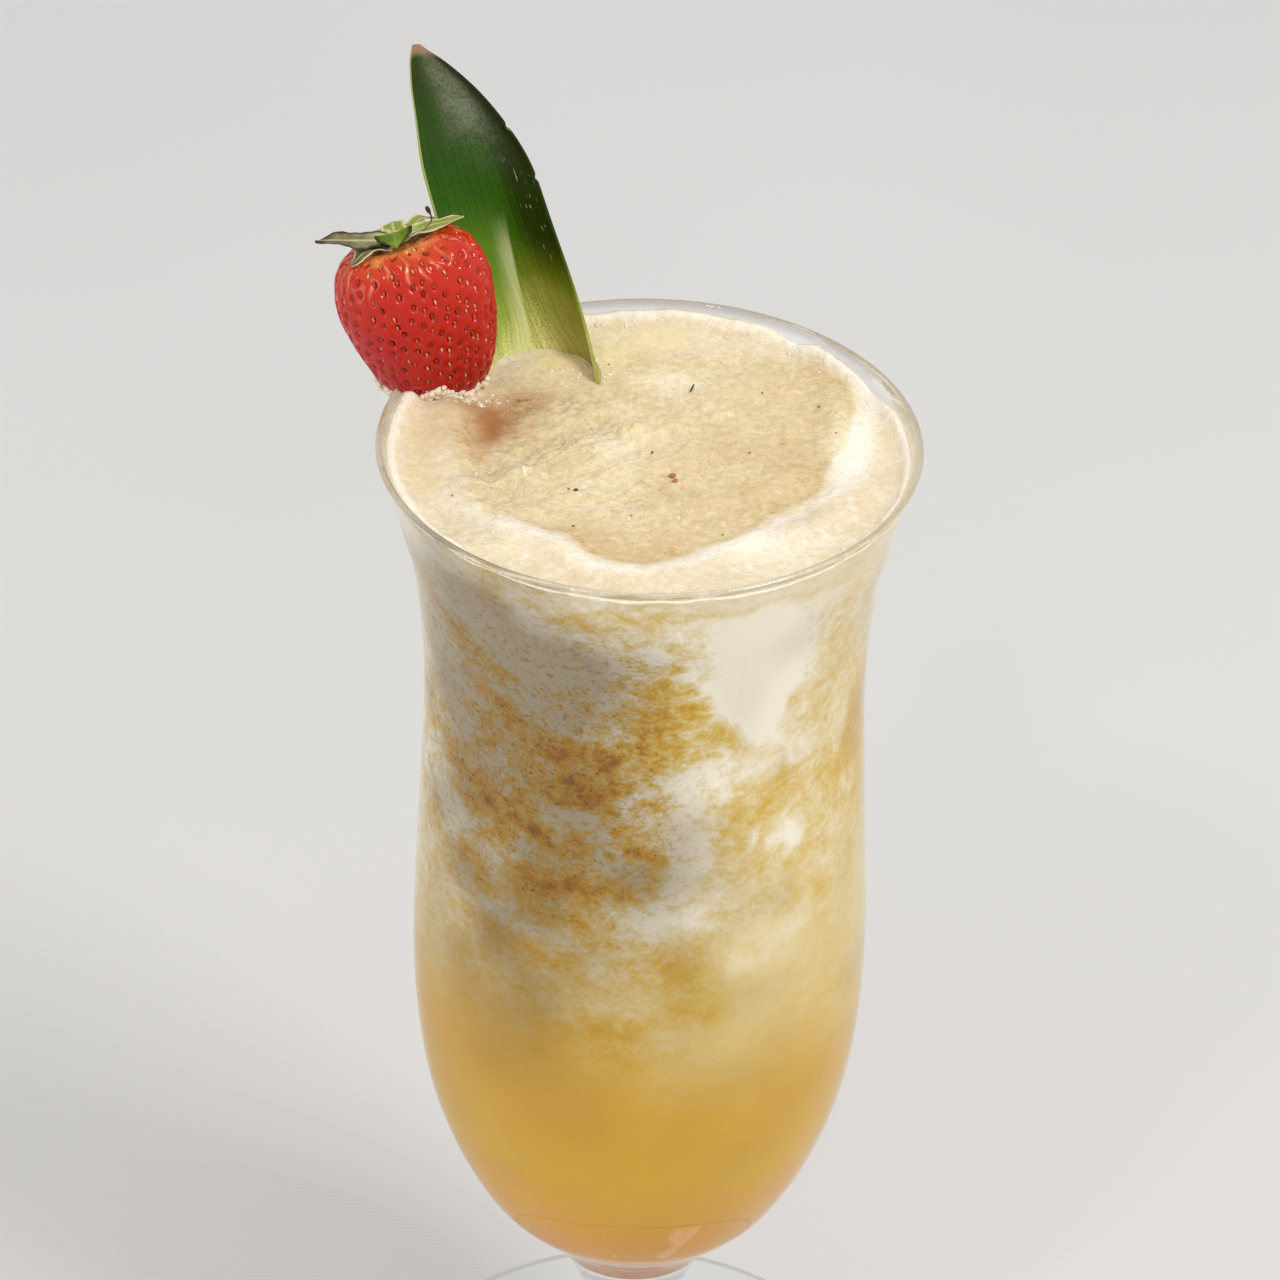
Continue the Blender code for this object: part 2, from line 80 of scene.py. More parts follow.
def moved_out(profile, distance):
    """A profile that runs downward, moved by the distance along its outward normal."""
    along = unit(np.gradient(profile, axis=0))
    return profile + distance * np.stack([-along[:, 1], along[:, 0]], axis=1)


def cavity_wall():
    """(radius, height) down the inside: the outer wall moved in by the wall's thickness, which tapers to
    the lip, then a bowl z = z0 + k r^2 whose slope agrees where the two meet."""
    outside = curve_through([(RIM_RADIUS, GLASS_HEIGHT), *OUTER_WALL[:BOWL_STATIONS]], 10)
    moved = moved_out(outside, -np.interp(outside[:, 1], [150, 190], [WALL, LIP])[:, None])
    wall = moved[(moved[:, 1] > CAVITY_JOIN) & (moved[:, 1] < GLASS_HEIGHT - 0.8)]
    slope = (wall[-2, 0] - wall[-1, 0]) / (wall[-2, 1] - wall[-1, 1])
    radius, height = wall[-1]
    inward = np.linspace(0.95, 0.0, 16) * radius
    bottom = np.stack([inward, height - (radius**2 - inward**2) / (2 * slope * radius)], axis=1)
    return np.vstack([wall, bottom])


def ring_net(rings, start, end):
    """Points and faces of closed rings (row, place, xyz) joined by quads, each end drawn to one point."""
    rows, sides = rings.shape[:2]
    points = np.vstack([rings.reshape(-1, 3), start, end])
    row, place = np.meshgrid(np.arange(rows - 1), np.arange(sides), indexing="ij")
    a, b = row * sides + place, row * sides + (place + 1) % sides
    quads = np.stack([a, b, b + sides, a + sides], axis=-1).reshape(-1, 4)
    here = np.arange(sides)
    after = (here + 1) % sides
    last, pole = (rows - 1) * sides, np.full(sides, rows * sides)
    first_fan = np.stack([after, here, pole], 1)
    last_fan = np.stack([last + here, last + after, pole + 1], 1)
    return points, quads.tolist() + first_fan.tolist() + last_fan.tolist()


def even_turns(sides):
    """That many even turns round a circle."""
    return np.arange(sides) * 2 * math.pi / sides


def turned_rings(profile, sides):
    """Rings (r cos a, r sin a, z) of a profile of (r, z) at `sides` even turns a."""
    turn = even_turns(sides)
    radius, height = profile[:, 0, None], profile[:, 1, None]
    return np.stack([radius * np.cos(turn), radius * np.sin(turn), height + 0 * turn], axis=-1)


def add_piece(name, points, faces, finish, slot, **fields):
    """A smooth shaded piece from points in mm, its faces outward, with one number a point for each field."""
    mesh = bpy.data.meshes.new(name)
    mesh.from_pydata(np.asarray(points) * MM, [], faces)
    form = bmesh.new()
    form.from_mesh(mesh)
    bmesh.ops.recalc_face_normals(form, faces=form.faces)
    form.to_mesh(mesh)
    form.free()
    mesh.shade_smooth()
    mesh.set_sharp_from_angle(angle=math.radians(50))
    for field, values in fields.items():
        numbers = np.asarray(values, np.float32).ravel()
        mesh.attributes.new(field, "FLOAT", "POINT").data.foreach_set("value", numbers)
    mesh.materials.append(finish)
    piece = bpy.data.objects.new(name, mesh)
    bpy.context.scene.collection.objects.link(piece)
    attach(piece, "root")
    return piece


def new_finish(name):
    """A material with its node tree and its Principled shader."""
    made = bpy.data.materials.new(name)
    made.use_nodes = True
    return made, made.node_tree, made.node_tree.nodes["Principled BSDF"]


def fill(tree, made, inputs):
    """Gives each named input of a node its number or colour, or joins another node's output to it."""
    for name, value in inputs.items():
        if isinstance(value, bpy.types.NodeSocket):
            tree.links.new(value, made.inputs[name])
        else:
            made.inputs[name].default_value = value


def node(tree, kind, inputs, **settings):
    """A shader node with its settings made and its inputs filled."""
    made = tree.nodes.new("ShaderNode" + kind)
    for name, value in settings.items():
        setattr(made, name, value)
    fill(tree, made, inputs)
    return made


def place(tree):
    """The point on the piece, in metres."""
    return node(tree, "TexCoord", {}).outputs["Object"]


def axis(tree, where, letter):
    """One coordinate of the point."""
    return node(tree, "SeparateXYZ", {0: where}).outputs[letter]


def noise(tree, where, grain_mm, detail=3.0, rough=0.5, curl=0.0):
    """Noise from 0 to 1 whose lumps are about that many mm wide, stirred round by the curl."""
    return node(tree, "TexNoise", {
        "Vector": where, "Scale": 1.0 / (grain_mm * MM), "Detail": detail, "Roughness": rough,
        "Distortion": curl}).outputs[0]


def joined(tree, operation, first, *others):
    """The values put together, from first to last, by that operation of the Math node."""
    for other in others:
        first = node(tree, "Math", {0: first, 1: other}, operation=operation).outputs[0]
    return first


def times(tree, *values):
    """The values multiplied."""
    return joined(tree, "MULTIPLY", *values)


def plus(tree, *values):
    """The values added up."""
    return joined(tree, "ADD", *values)


def stretch(tree, value, low, high, out_low=0.0, out_high=1.0):
    """A smooth step: out_low where the value is at low, out_high where it is at high."""
    return node(tree, "MapRange", {
        "Value": value, "From Min": low, "From Max": high, "To Min": out_low, "To Max": out_high,
    }, interpolation_type="SMOOTHSTEP").outputs[0]


def paint(red, green, blue):
    """The linear colour of a paint chip with these values of 0 to 255."""
    chip = np.array([red, green, blue]) / 255
    return (*np.where(chip > 0.04045, ((chip + 0.055) / 1.055) ** 2.4, chip / 12.92).tolist(), 1.0)


def mixed(tree, share, first, second):
    """The first colour where the share is 0, the second where it is 1."""
    return node(tree, "Mix", {0: share, 6: first, 7: second}, data_type="RGBA").outputs[2]


def over(tree, under, share, *chip):
    """The colour with a coat of paint over it, as thick as the share."""
    return mixed(tree, share, under, paint(*chip))


def ramp(tree, value, stops):
    """The colour at the value along a row of (place, colour) stops."""
    made = node(tree, "ValToRGB", {"Fac": value})
    row = made.color_ramp.elements
    for at, colour in stops[2:]:
        row.new(at)
    for mark, (at, colour) in zip(row, sorted(stops)):
        mark.position, mark.color = at, colour
    return made.outputs["Color"]


def shades(tree, value, *stops):
    """The colour at the value along a row of paint chips: (place, red, green, blue)."""
    return ramp(tree, value, [(at, paint(*chip)) for at, *chip in stops])


def bumped(tree, shader, height, depth_mm):
    """Raises the shader's surface by the height times the depth."""
    values = {"Height": height, "Distance": depth_mm * MM, "Strength": 1.0}
    tree.links.new(node(tree, "Bump", values).outputs[0], shader.inputs["Normal"])


def clear_glass():
    """Clear glass with faint waves from blowing and a trace of finger marks, tinted dark grey in the fire
    polished lip, at the foot's edge and high on the stem, as painted dark reflections of dark surroundings.
    Shadow rays, rays that the drink has scattered and rays that have crossed more than four faces go straight
    through, so that light gets in and out."""
    made, tree, shader = new_finish("clear_glass")
    where = place(tree)
    height = axis(tree, where, "Z")
    in_lip = stretch(tree, height, (GLASS_HEIGHT - 1.2) * MM, (GLASS_HEIGHT - 0.5) * MM)
    # Painted dark reflection: the lip tinted dark grey
    tint = mixed(tree, in_lip, CLEAR, LIP_PAINTED_DARK)
    flat = node(tree, "VectorMath", {0: where, 1: (1.0, 1.0, 0.0)}, operation="MULTIPLY").outputs[0]
    away = node(tree, "VectorMath", {0: flat}, operation="LENGTH").outputs["Value"]
    # Painted dark reflections: the foot's edge and the top of the stem tinted dark grey
    foot = times(tree, stretch(tree, away, 0.0386, 0.0396), stretch(tree, height, 0.004, 0.03, 1.0, 0.0))
    stem = times(
        tree, stretch(tree, height, 0.03, 0.035), stretch(tree, height, 0.0365, 0.0405, 1.0, 0.0), 0.5)
    tint = mixed(tree, joined(tree, "MAXIMUM", foot, stem), tint, FOOT_PAINTED_DARK)
    fill(tree, shader, {
        "Base Color": tint, "IOR": 1.5, "Transmission Weight": 1.0, "Sheen Weight": 0.015,
        "Sheen Roughness": 0.5, "Roughness": stretch(tree, noise(tree, where, 14.0), 0.52, 0.8, 0.0, 0.03),
    })
    bumped(tree, shader, noise(tree, where, 26.0, 1.0), 0.06)
    light = node(tree, "LightPath", {}).outputs
    deep = joined(tree, "GREATER_THAN", light["Ray Depth"], MOST_FACES)
    straight = joined(tree, "MAXIMUM", light["Is Shadow Ray"], light["Is Diffuse Ray"], deep)
    open_way = node(tree, "BsdfTransparent", {"Color": PASSED}).outputs[0]
    both = node(tree, "MixShader", {0: straight, 1: shader.outputs[0], 2: open_way}).outputs[0]
    tree.links.new(both, tree.nodes["Material Output"].inputs["Surface"])
    return made


def round_edge(radius, height, size, start, end, steps):
    """An arc (radius + r cos a, height + r sin a) of the profile, r half the size, a from start to end."""
    turn = np.radians(np.linspace(start, end, steps))
    return np.stack([radius + size / 2 * np.cos(turn), height + size / 2 * np.sin(turn)], axis=1)


lip = round_edge(RIM_RADIUS - LIP / 2, GLASS_HEIGHT - LIP / 2, LIP, 172, 8, 12)
foot_edge = round_edge(FOOT_RADIUS - FOOT_EDGE / 2, FOOT_EDGE / 2, FOOT_EDGE, 60, -90, 9)
cavity = cavity_wall()
glass_profile = np.vstack([cavity[::-1], lip, curve_through(OUTER_WALL, 10), foot_edge])
glass_rings = turned_rings(glass_profile[1:], GLASS_SIDES)
glass_points, glass_faces = ring_net(glass_rings, [0, 0, glass_profile[0, 1]], [0, 0, 0])
glass = add_piece("glass_body", glass_points, glass_faces, clear_glass(), "clear_glass")
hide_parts("glass")

# Juice: the settled half of the smoothie, cloudy pineapple juice that has drained out of the froth. It
# fills the bowl's base, reaches just into the wall so that no air shows, and ends in a soft wavy border.

IN_WALL = 0.4
JUICE_LEVEL = 98.0
ROUND = 320
turns = even_turns(ROUND)
drink_wall = moved_out(cavity, IN_WALL)
drink_wall[-1, 0] = 0.0


def juice_top(x, y):
    """Height of the border over (x, y): the level, two slow waves and a tilt."""
    wave = 1.3 * np.sin(0.11 * x + 0.08 * y + 1.9) + 0.8 * np.cos(0.19 * y - 0.07 * x)
    return JUICE_LEVEL + wave - 0.035 * x


def wall_radius(level):
    """The radius of the drink's side at that level."""
    return np.interp(level, drink_wall[::-1, 1], drink_wall[::-1, 0])


def edge_at(height, first_guess=36.0, tries=14):
    """Radius and level where a surface height(x, y) meets the wall, found by going back and forth."""
    radius = np.full(ROUND, first_guess)
    for _ in range(tries):
        level = height(radius * np.cos(turns), radius * np.sin(turns))
        radius = wall_radius(level)
    return radius, level


def side_rings(low, high, rows):
    """Rings up the wall from one level to another, the radius read from the wall's profile."""
    level = low + (high - low) * np.linspace(0, 1, rows)[:, None]
    radius = wall_radius(level)
    return np.stack([radius * np.cos(turns), radius * np.sin(turns), level], axis=-1)


def cap_rings(edge, height, rows):
    """Rings inward from an edge, at radius (1 - k / rows) of it, lying on height(x, y)."""
    share = 1 - np.arange(1, rows)[:, None] / rows
    x, y = edge[0] * share * np.cos(turns), edge[0] * share * np.sin(turns)
    return np.stack([x, y, height(x, y)], axis=-1)


# Marbling on the side: degrees round from the front toward +X, height, half width in degrees, half
# height in mm, slant in mm of drop a degree, and strength, over 0 for amber juice and under 0 for foam
MARBLING = [
    (28, 175, 15, 11, 0.0, -1.3), (33, 163, 7, 5, 0.0, -0.7), (-20, 178, 24, 8, 0.0, -0.6),
    (-25, 168, 12, 4, 0.0, -0.7), (-58, 182, 20, 8, 0.3, -0.6), (-60, 162, 13, 9, 0.3, -0.5),
    (12, 146, 6, 10, 0.0, -0.55), (20, 154, 9, 3.5, 0.0, -0.45), (5, 129, 15, 3.5, 0.0, -0.6),
    (-20, 145, 8, 2.2, 0.2, -0.8), (-12, 139, 5, 2.0, 0.3, -0.7), (-55, 137, 13, 3.0, 0.3, -0.6),
    (-32, 137, 9, 2.0, 0.2, -0.4), (-35, 125, 14, 2.6, 0.1, -0.5), (31, 142, 3.4, 1.9, 0.0, -0.8),
    (45, 139.5, 5.5, 3.0, 0.0, -0.8), (40, 154, 8, 2.6, 0.0, -0.4), (42, 121, 9, 4, 0.0, -0.2),
    (28, 119, 3.5, 3, 0.0, -0.3), (60, 152, 5, 9, 0.0, -0.3), (-2, 149, 5.5, 3.0, 0.0, -0.7),
    (2, 148, 2.2, 1.3, 0.0, 1.1), (8, 168, 8, 8, 0.0, 0.6), (4, 160, 9, 6, 0.0, 0.45),
    (22, 161, 7, 2.6, 0.3, 0.75), (29, 160, 4, 1.3, 0.0, 0.5), (-8, 159, 8, 4.5, 0.0, 0.6),
    (-22, 158, 10, 4, 0.1, 0.5), (-14, 151, 9, 3.6, 0.1, 0.85), (-22, 148, 7, 2.5, 0.0, 0.5),
    (-38, 162, 8, 2.4, 0.2, 0.8), (-46, 156, 5, 2.2, 0.2, 0.75), (-50, 173, 8, 2.2, 0.2, 0.75),
    (-40, 169, 5, 1.6, 0.3, 0.5), (-62, 177, 9, 1.8, 0.4, 0.5), (-48, 144, 13, 3.4, 0.35, 0.75),
    (-32, 140, 10, 2.2, 0.2, 0.6), (-19, 141, 4, 1.8, 0.0, 0.5), (-3, 141, 6, 3.5, 0.2, 0.8),
    (-20, 132, 14, 2.2, -0.1, 0.8), (-44, 129, 8, 2.2, 0.3, 0.5), (-30, 119, 9, 1.5, 0.25, 0.5),
    (36, 147, 15, 4.4, 0.0, 0.4), (24, 141, 5, 4.0, 0.0, 0.35), (56, 145, 7, 4, 0.0, 0.3),
    (38, 136, 15, 4, 0.0, 0.35), (55, 165, 12, 14, 0.0, 0.2), (55, 115, 18, 14, 0.0, 0.12),
    (10, 120, 13, 5, 0.0, 0.35), (16, 112, 8, 4, 0.0, 0.3), (52, 174, 6, 7, 0.3, 0.15),
    (45, 163, 5, 3, 0.2, 0.35), (76, 145, 15, 17, 0.0, 0.6),
    (52, 127, 9, 2.4, 0.2, 0.35), (-12, 184.5, 13, 2.4, 0.1, 0.5), (-5, 179, 10, 1.0, 0.1, 0.35),
    (-4, 105, 7, 4, 0.0, 0.35), (-22, 103, 9, 4, 0.0, 0.3), (-85, 152, 14, 5, 0.3, 0.5),
    (10, 186.5, 40, 1.2, 0.0, 0.35), (-75, 134, 14, 3, 0.2, 0.3), (8, 137, 8, 4, 0.0, -0.4),
    (70, 152, 12, 8, 0.0, 0.4), (15, 157, 5, 4, 0.0, 0.35), (13, 171, 6, 9, 0.0, 0.3),
    (-15, 126, 6, 4, 0.0, 0.35), (-75, 177, 10, 5, 0.0, 0.4),
]
# Least and most of each of those for the random patches behind, where the photo shows nothing
BEHIND = [(108, 252), (108, 186), (5, 14), (2, 7), (-0.3, 0.3), (-1.0, 1.0)]
BEHIND_PATCHES = 34
# Painted shade on the drink's side, mostly at the left away from the window, greying the foam and browning
# the amber: degrees, height, half width, half height, and how much
SIDE_SHADE_SPOTS = [
    (-44, 160, 34, 46, 1.2), (-8, 140, 22, 26, 0.5), (-32, 108, 25, 16, 0.5), (-18, 172, 16, 13, 0.5),
    (8, 132, 16, 24, 0.3),
]
MM_A_DEGREE = 0.6


def eased(x):
    """3 x^2 - 2 x^3: from 0 to 1, level at both ends."""
    return x * x * (3 - 2 * x)


def lumps(x, y, size, seed):
    """Smooth random lumps about `size` mm apart: a lattice of random heights joined by smooth steps."""
    lattice = np.random.default_rng(seed).uniform(-1, 1, (128, 128))
    across, up = x / size + 40.0, y / size + 40.0
    i, j = np.floor(across).astype(int) % 127, np.floor(up).astype(int) % 127
    u, v = eased(across % 1), eased(up % 1)
    low = lattice[i, j] * (1 - u) + lattice[i + 1, j] * u
    high = lattice[i, j + 1] * (1 - u) + lattice[i + 1, j + 1] * u
    return low * (1 - v) + high * v


def patches(x, y, spots):
    """Sum of strength exp(-(dx / wide)^2 - (dy / tall)^2) over the spots."""
    total = np.zeros_like(x)
    for middle_x, middle_y, wide, tall, strength in spots:
        total = total + strength * np.exp(-(((x - middle_x) / wide) ** 2) - ((y - middle_y) / tall) ** 2)
    return total


def marbling(x, y, z):
    """Amber from 0 to 1: a level for the height, plus strength exp(-(du^2 + dz^2)) for each patch, u and z
    shaken by lumps. Patches count less at the right front, where the foam is smooth, and amber is held
    down at the very top. Past the sides that the list covers, random patches carry on round the back."""
    chance = np.random.default_rng(11)
    behind = np.column_stack([chance.uniform(low, high, BEHIND_PATCHES) for low, high in BEHIND])
    behind[:, 5] *= np.interp(behind[:, 1], [112, 145], [0.3, 0.9])
    facing = np.degrees(np.arctan2(x, -y))
    arc = facing * MM_A_DEGREE
    shift = 3.0 * lumps(arc, z, 7.0, 21) + 1.6 * lumps(arc, z, 3.0, 22)
    z = z + 1.8 * lumps(arc, z, 6.0, 23) + 1.0 * lumps(arc, z, 2.6, 24)
    round_about = facing + 1.7 * shift
    amber = np.interp(z, [90, 105, 122, 135, 187, 191], [0.52, 0.46, 0.38, 0.34, 0.32, 0.3])
    force = np.interp(np.abs(round_about - 45), [15, 45], [0.42, 0.56])
    for middle, level, wide, tall, slant, strength in [*MARBLING, *behind.tolist()]:
        turn = (round_about - middle + 180) % 360 - 180
        drop = z - level + slant * turn
        amber = amber + force * strength * np.exp(-((turn / wide) ** 2) - (drop / tall) ** 2)
    most = np.interp(facing, [-50, -22, 0, 60, 90], [0.12, 0.46, 0.4, 0.3, 0.16])
    amber = amber - np.clip((z - 183.0) / 4.0, 0, 1) * np.clip(amber - most, 0, 1)
    return np.clip(amber, 0.02, 1.0)


def painted_side_shade(x, y, z):
    """How much painted shade lies on the drink's side, 0 to 1: the shade spots, less at the top, and lumps.
    """
    facing = np.degrees(np.arctan2(x, -y))
    dull = patches(facing, z, SIDE_SHADE_SPOTS) - 0.25 * np.clip((z - 184) / 3, 0, 1)
    return np.clip(dull + 0.22 * lumps(facing * MM_A_DEGREE, z, 8.0, 25), 0, 1)


def read(tree, field):
    """The number that the piece carries at each point under that name."""
    return node(tree, "Attribute", {}, attribute_name=field).outputs["Fac"]


def round_zero(tree, value, by):
    """The value less a half, times `by`: noise made to swing either way."""
    return times(tree, joined(tree, "SUBTRACT", value, 0.5), by)


def side_shades(tree, where):
    """The drink's side: foam marbled with amber, its edges broken up by noise, which fades through a ragged
    border into plain amber juice, browner toward the base. Where painted shade lies, the foam takes a darker,
    greyer copy of its colours and is pitted and threaded, and the juice is dulled brown."""
    flat = node(tree, "Mapping", {"Vector": where, "Scale": (1.0, 1.0, 1.3)}).outputs[0]
    height, rightward = times(tree, axis(tree, where, "Z"), 1 / MM), axis(tree, where, "X")
    dullness = read(tree, "dull")
    rough = times(
        tree, stretch(tree, height, 108.0, 146.0, 0.28, 1.0), stretch(tree, height, 178.0, 187.0, 1.0, 0.5),
        stretch(tree, rightward, -0.004, 0.018, 1.15, 0.42))
    swirl = round_zero(tree, noise(tree, flat, 4.6, 2.0, 0.5, 0.8), 1.0)
    curls = round_zero(tree, noise(tree, flat, 1.9, 4.0, 0.55, 0.6), 1.05)
    fine = round_zero(tree, noise(tree, where, 0.6, 2.0), 0.55)
    pits = stretch(tree, noise(tree, flat, 0.8, 2.0), 0.58, 0.7, 0.0, 0.4)
    broken = plus(
        tree, times(tree, plus(tree, swirl, plus(tree, curls, fine)), rough),
        times(tree, pits, rough, dullness))
    amber = plus(tree, read(tree, "amber"), broken)
    bright = shades(
        tree, amber, (0.10, 240, 230, 210), (0.28, 228, 211, 175), (0.42, 218, 194, 136),
        (0.58, 210, 174, 78), (0.78, 198, 150, 18), (1.0, 170, 112, 0))
    # Painted shade: a darker, greyer copy of the foam's colours, mixed in by the shade share
    dull = shades(
        tree, amber, (0.10, 151, 137, 112), (0.28, 149, 128, 88), (0.42, 152, 122, 58),
        (0.58, 154, 114, 24), (0.78, 145, 97, 0), (1.0, 112, 67, 0))
    foam = mixed(tree, dullness, bright, dull)
    # Dark threads and pits, shown only where the painted shade lies
    threads = stretch(tree, noise(tree, flat, 1.3, 4.0, 0.65, 0.5), 0.5, 0.72, 0.0, 0.72)
    foam = over(tree, foam, times(tree, threads, rough, dullness), 122, 92, 48)
    cloud = round_zero(tree, noise(tree, where, 16.0, 2.0), 16.0)
    juice = shades(
        tree, times(tree, plus(tree, height, cloud), 0.01), (0.36, 158, 88, 0), (0.46, 200, 122, 0),
        (0.58, 214, 150, 0), (0.75, 210, 164, 26), (0.95, 204, 156, 44))
    # Painted shade on the juice: dulled brown where the shade share is high
    juice = over(tree, juice, times(tree, dullness, 0.7), 163, 120, 42)
    waver = round_zero(tree, noise(tree, where, 9.0, 2.0), 14.0)
    level = plus(tree, height, times(tree, rightward, 150.0), waver)
    return mixed(tree, stretch(tree, level, 90.0, 112.0), juice, foam)


def away_from_border(tree, where):
    """0 at the border between juice and froth, where the two pieces have to look like one, and 1 off it."""
    above = joined(tree, "SUBTRACT", axis(tree, where, "Z"), JUICE_LEVEL * MM)
    off = node(tree, "Math", {0: above}, operation="ABSOLUTE").outputs[0]
    return stretch(tree, off, 0.004, 0.012)


def cloudy_juice():
    """Cloudy juice: amber that light enters a few mm deep."""
    made, tree, shader = new_finish("cloudy_juice")
    where = place(tree)
    fill(tree, shader, {
        "Base Color": side_shades(tree, where), "Roughness": 0.4, "Specular IOR Level": 0.0,
        "Sheen Weight": 0.04, "Sheen Roughness": 0.4,
        "Subsurface Weight": times(tree, away_from_border(tree, where), 0.6),
        "Subsurface Radius": (1.0, 0.8, 0.4), "Subsurface Scale": 0.006,
    })
    bumped(tree, shader, noise(tree, where, 3.0), 0.02)
    return made


# The bowl's own profile up to a level, a gap, rings up to the wavy border, and the border's surface
BOWL_TOP, BAND_GAP, BAND_ROWS, CAP_ROWS = 92.0, 0.8, 8, 14
juice_edge = edge_at(juice_top)
juice_bowl = turned_rings(drink_wall[drink_wall[:, 1] < BOWL_TOP][:-1][::-1], ROUND)
juice_rings = np.concatenate([
    juice_bowl,
    side_rings(juice_bowl[-1, 0, 2] + BAND_GAP, juice_edge[1], BAND_ROWS),
    cap_rings(juice_edge, juice_top, CAP_ROWS),
])
juice_points, juice_faces = ring_net(
    juice_rings, [0, 0, drink_wall[-1, 1]], [0, 0, float(juice_top(0.0, 0.0))]
)
juice = add_piece(
    "settled_juice", juice_points, juice_faces, cloudy_juice(), "juice",
    amber=marbling(*juice_points.T), dull=painted_side_shade(*juice_points.T),
)
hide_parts("juice")

# Froth: the blended fruit's foam that rose to the mouth, marbled with amber juice down the side. Its top
# is a pale pillow at the wall round a tan island of pulp, pushed into soft folds as it was poured.

FROTH_LEVEL = GLASS_HEIGHT - 3.2

# The tan island's shore: direction in degrees from +X, radius in mm
SHORE = [
    (-170, 28.4), (-156, 29.5), (-138, 26.9), (-120, 24.2), (-109, 27.5), (-90, 28.0), (-72, 25.3),
    (-55, 24.4), (-38, 22.8), (-20, 26.6), (0, 27.0), (27, 34.9), (36, 37.6), (48, 37.5), (62, 33.0),
    (80, 31.5), (100, 32.5), (120, 34.0), (140, 31.0), (165, 30.0),
]
# Folds in mm: from (x, y) to (x, y), half width, rise
FOLDS = [
    (-30, -6, -7, 12, 1.3, -0.9), (-28, -8, -12, 1, 1.8, 0.9), (-22, -2, -9, -10, 2.0, 1.0),
    (-15, 1, -1, 9, 2.2, 1.1), (-6, -4, 6, 2, 2.4, 0.8), (-29, -14, -14, -13, 1.8, 0.8),
    (-25, 7, -23, 13, 3.0, -1.5), (4, -6, 4, -5, 1.6, 0.9), (-2, 24, 14, 22, 3.0, 0.6),
    (10, -12, 20, -4, 3.4, 0.5), (-36, 13, -27, 12, 2.2, 1.2), (-25, -24, -12, -25, 3.6, 0.8),
    (22, 32, 34, 18, 2.8, -1.5),
]
# Smaller creases and ruffles that only the eye needs, in the same terms
RUFFLES = [
    (-27, -9, -15, -3, 0.5, -0.35), (-24, -4, -14, 3, 0.45, -0.4), (-20, -5, -12, -1, 0.6, 0.4),
    (-14, -4, -6, 4, 0.5, 0.45), (-12, -7, -4, -1, 0.6, 0.5), (-8, -10, 0, -5, 0.7, 0.4),
    (-10, 2, 0, 7, 0.5, 0.4), (-6, 6, 3, 10, 0.6, 0.35), (-3, -2, 6, 4, 0.6, 0.3),
    (-28, -15, -20, -12, 0.6, 0.5), (-26, -12, -18, -15, 0.5, -0.35), (-22, 2, -14, 7, 0.6, -0.4),
    (-19, 12, -8, 13, 0.6, 0.35), (-16, 17, -4, 16, 0.7, 0.3), (-20, 8, -12, 11, 0.6, 0.35),
    (2, 12, 14, 15, 0.8, 0.25), (8, 26, 20, 24, 0.9, 0.3), (12, 6, 22, 10, 0.9, 0.22),
    (-26, -20, -18, -27, 0.8, 0.35), (-18, -20, -13, -27, 0.9, 0.3), (14, -24, 26, -16, 1.2, 0.3),
    (24, -20, 30, -10, 1.0, 0.25), (-27, -3, -17, 1, 0.45, -0.5), (-17, 1, -13, 6, 0.4, -0.7),
    (-13, 6, -7, 12, 0.4, -0.6), (-3.6, 8, -2.4, 8.2, 1.1, 0.8), (-20, -26, -13, -21, 2.2, 0.25),
    (14, -22, 26, -15, 2.2, 0.5), (4, -14, 12, -16, 0.8, 0.2), (-4, -20, 6, -22, 0.8, 0.2),
]


def shore_distance(x, y):
    """How far outside the island's shore a point is, in mm along the line from the middle, and how crisp
    the shore is there: 1 in front and at the right, 0 behind and at the left, where it fades out."""
    table = np.array(SHORE)
    radius, angle = np.hypot(x, y), np.degrees(np.arctan2(y, x))
    shore = np.interp(angle, table[:, 0], table[:, 1], period=360)
    off = np.abs((angle - 130 + 180) % 360 - 180)
    crisp = eased(np.clip((off - 60) / 45, 0, 1))
    waves = 0.5 * np.sin(np.radians(angle) * 7 + 1) + 0.25 * np.sin(np.radians(angle) * 17)
    return radius - shore - waves, crisp


def bell(x, width):
    """exp(-(x / width)^2): 1 in the middle, 0 well outside the width."""
    return np.exp(-((x / width) ** 2))


def ridges(x, y, folds):
    """Sum of rises exp(-(d / w)^2), d the distance to each fold's slightly bowed line."""
    rise_all = np.zeros_like(x)
    for x0, y0, x1, y1, width, rise in folds:
        across, up = x1 - x0, y1 - y0
        length = math.hypot(across, up)
        t = np.clip(((x - x0) * across + (y - y0) * up) / length**2, 0, 1)
        bend = 1.4 * np.sin(math.pi * t)
        beside = x - (x0 + across * t + bend * up / length)
        beyond = y - (y0 + up * t - bend * across / length)
        rise_all = rise_all + rise * bell(np.hypot(beside, beyond), width)
    return rise_all


def froth_top(x, y):
    """Height of the foam: the level, the pale pillow's ring, the folds and slow waves."""
    radius, angle = np.hypot(x, y), np.arctan2(y, x)
    shore = 26.0 + 1.8 * np.cos(5 * (angle + 0.35)) + 12.0 * np.clip(np.sin(angle - 0.1), 0, 1)
    ring = 0.9 * bell(radius - shore - 3.5, 3.2) - 0.4 / (1 + np.exp((radius - shore) / 0.7))
    waves = 0.22 * np.sin(0.55 * x + 0.9 * np.sin(0.31 * y)) * np.cos(0.47 * y + 0.2 * x)
    return FROTH_LEVEL + ring + 0.6 * ridges(x, y, FOLDS) + waves


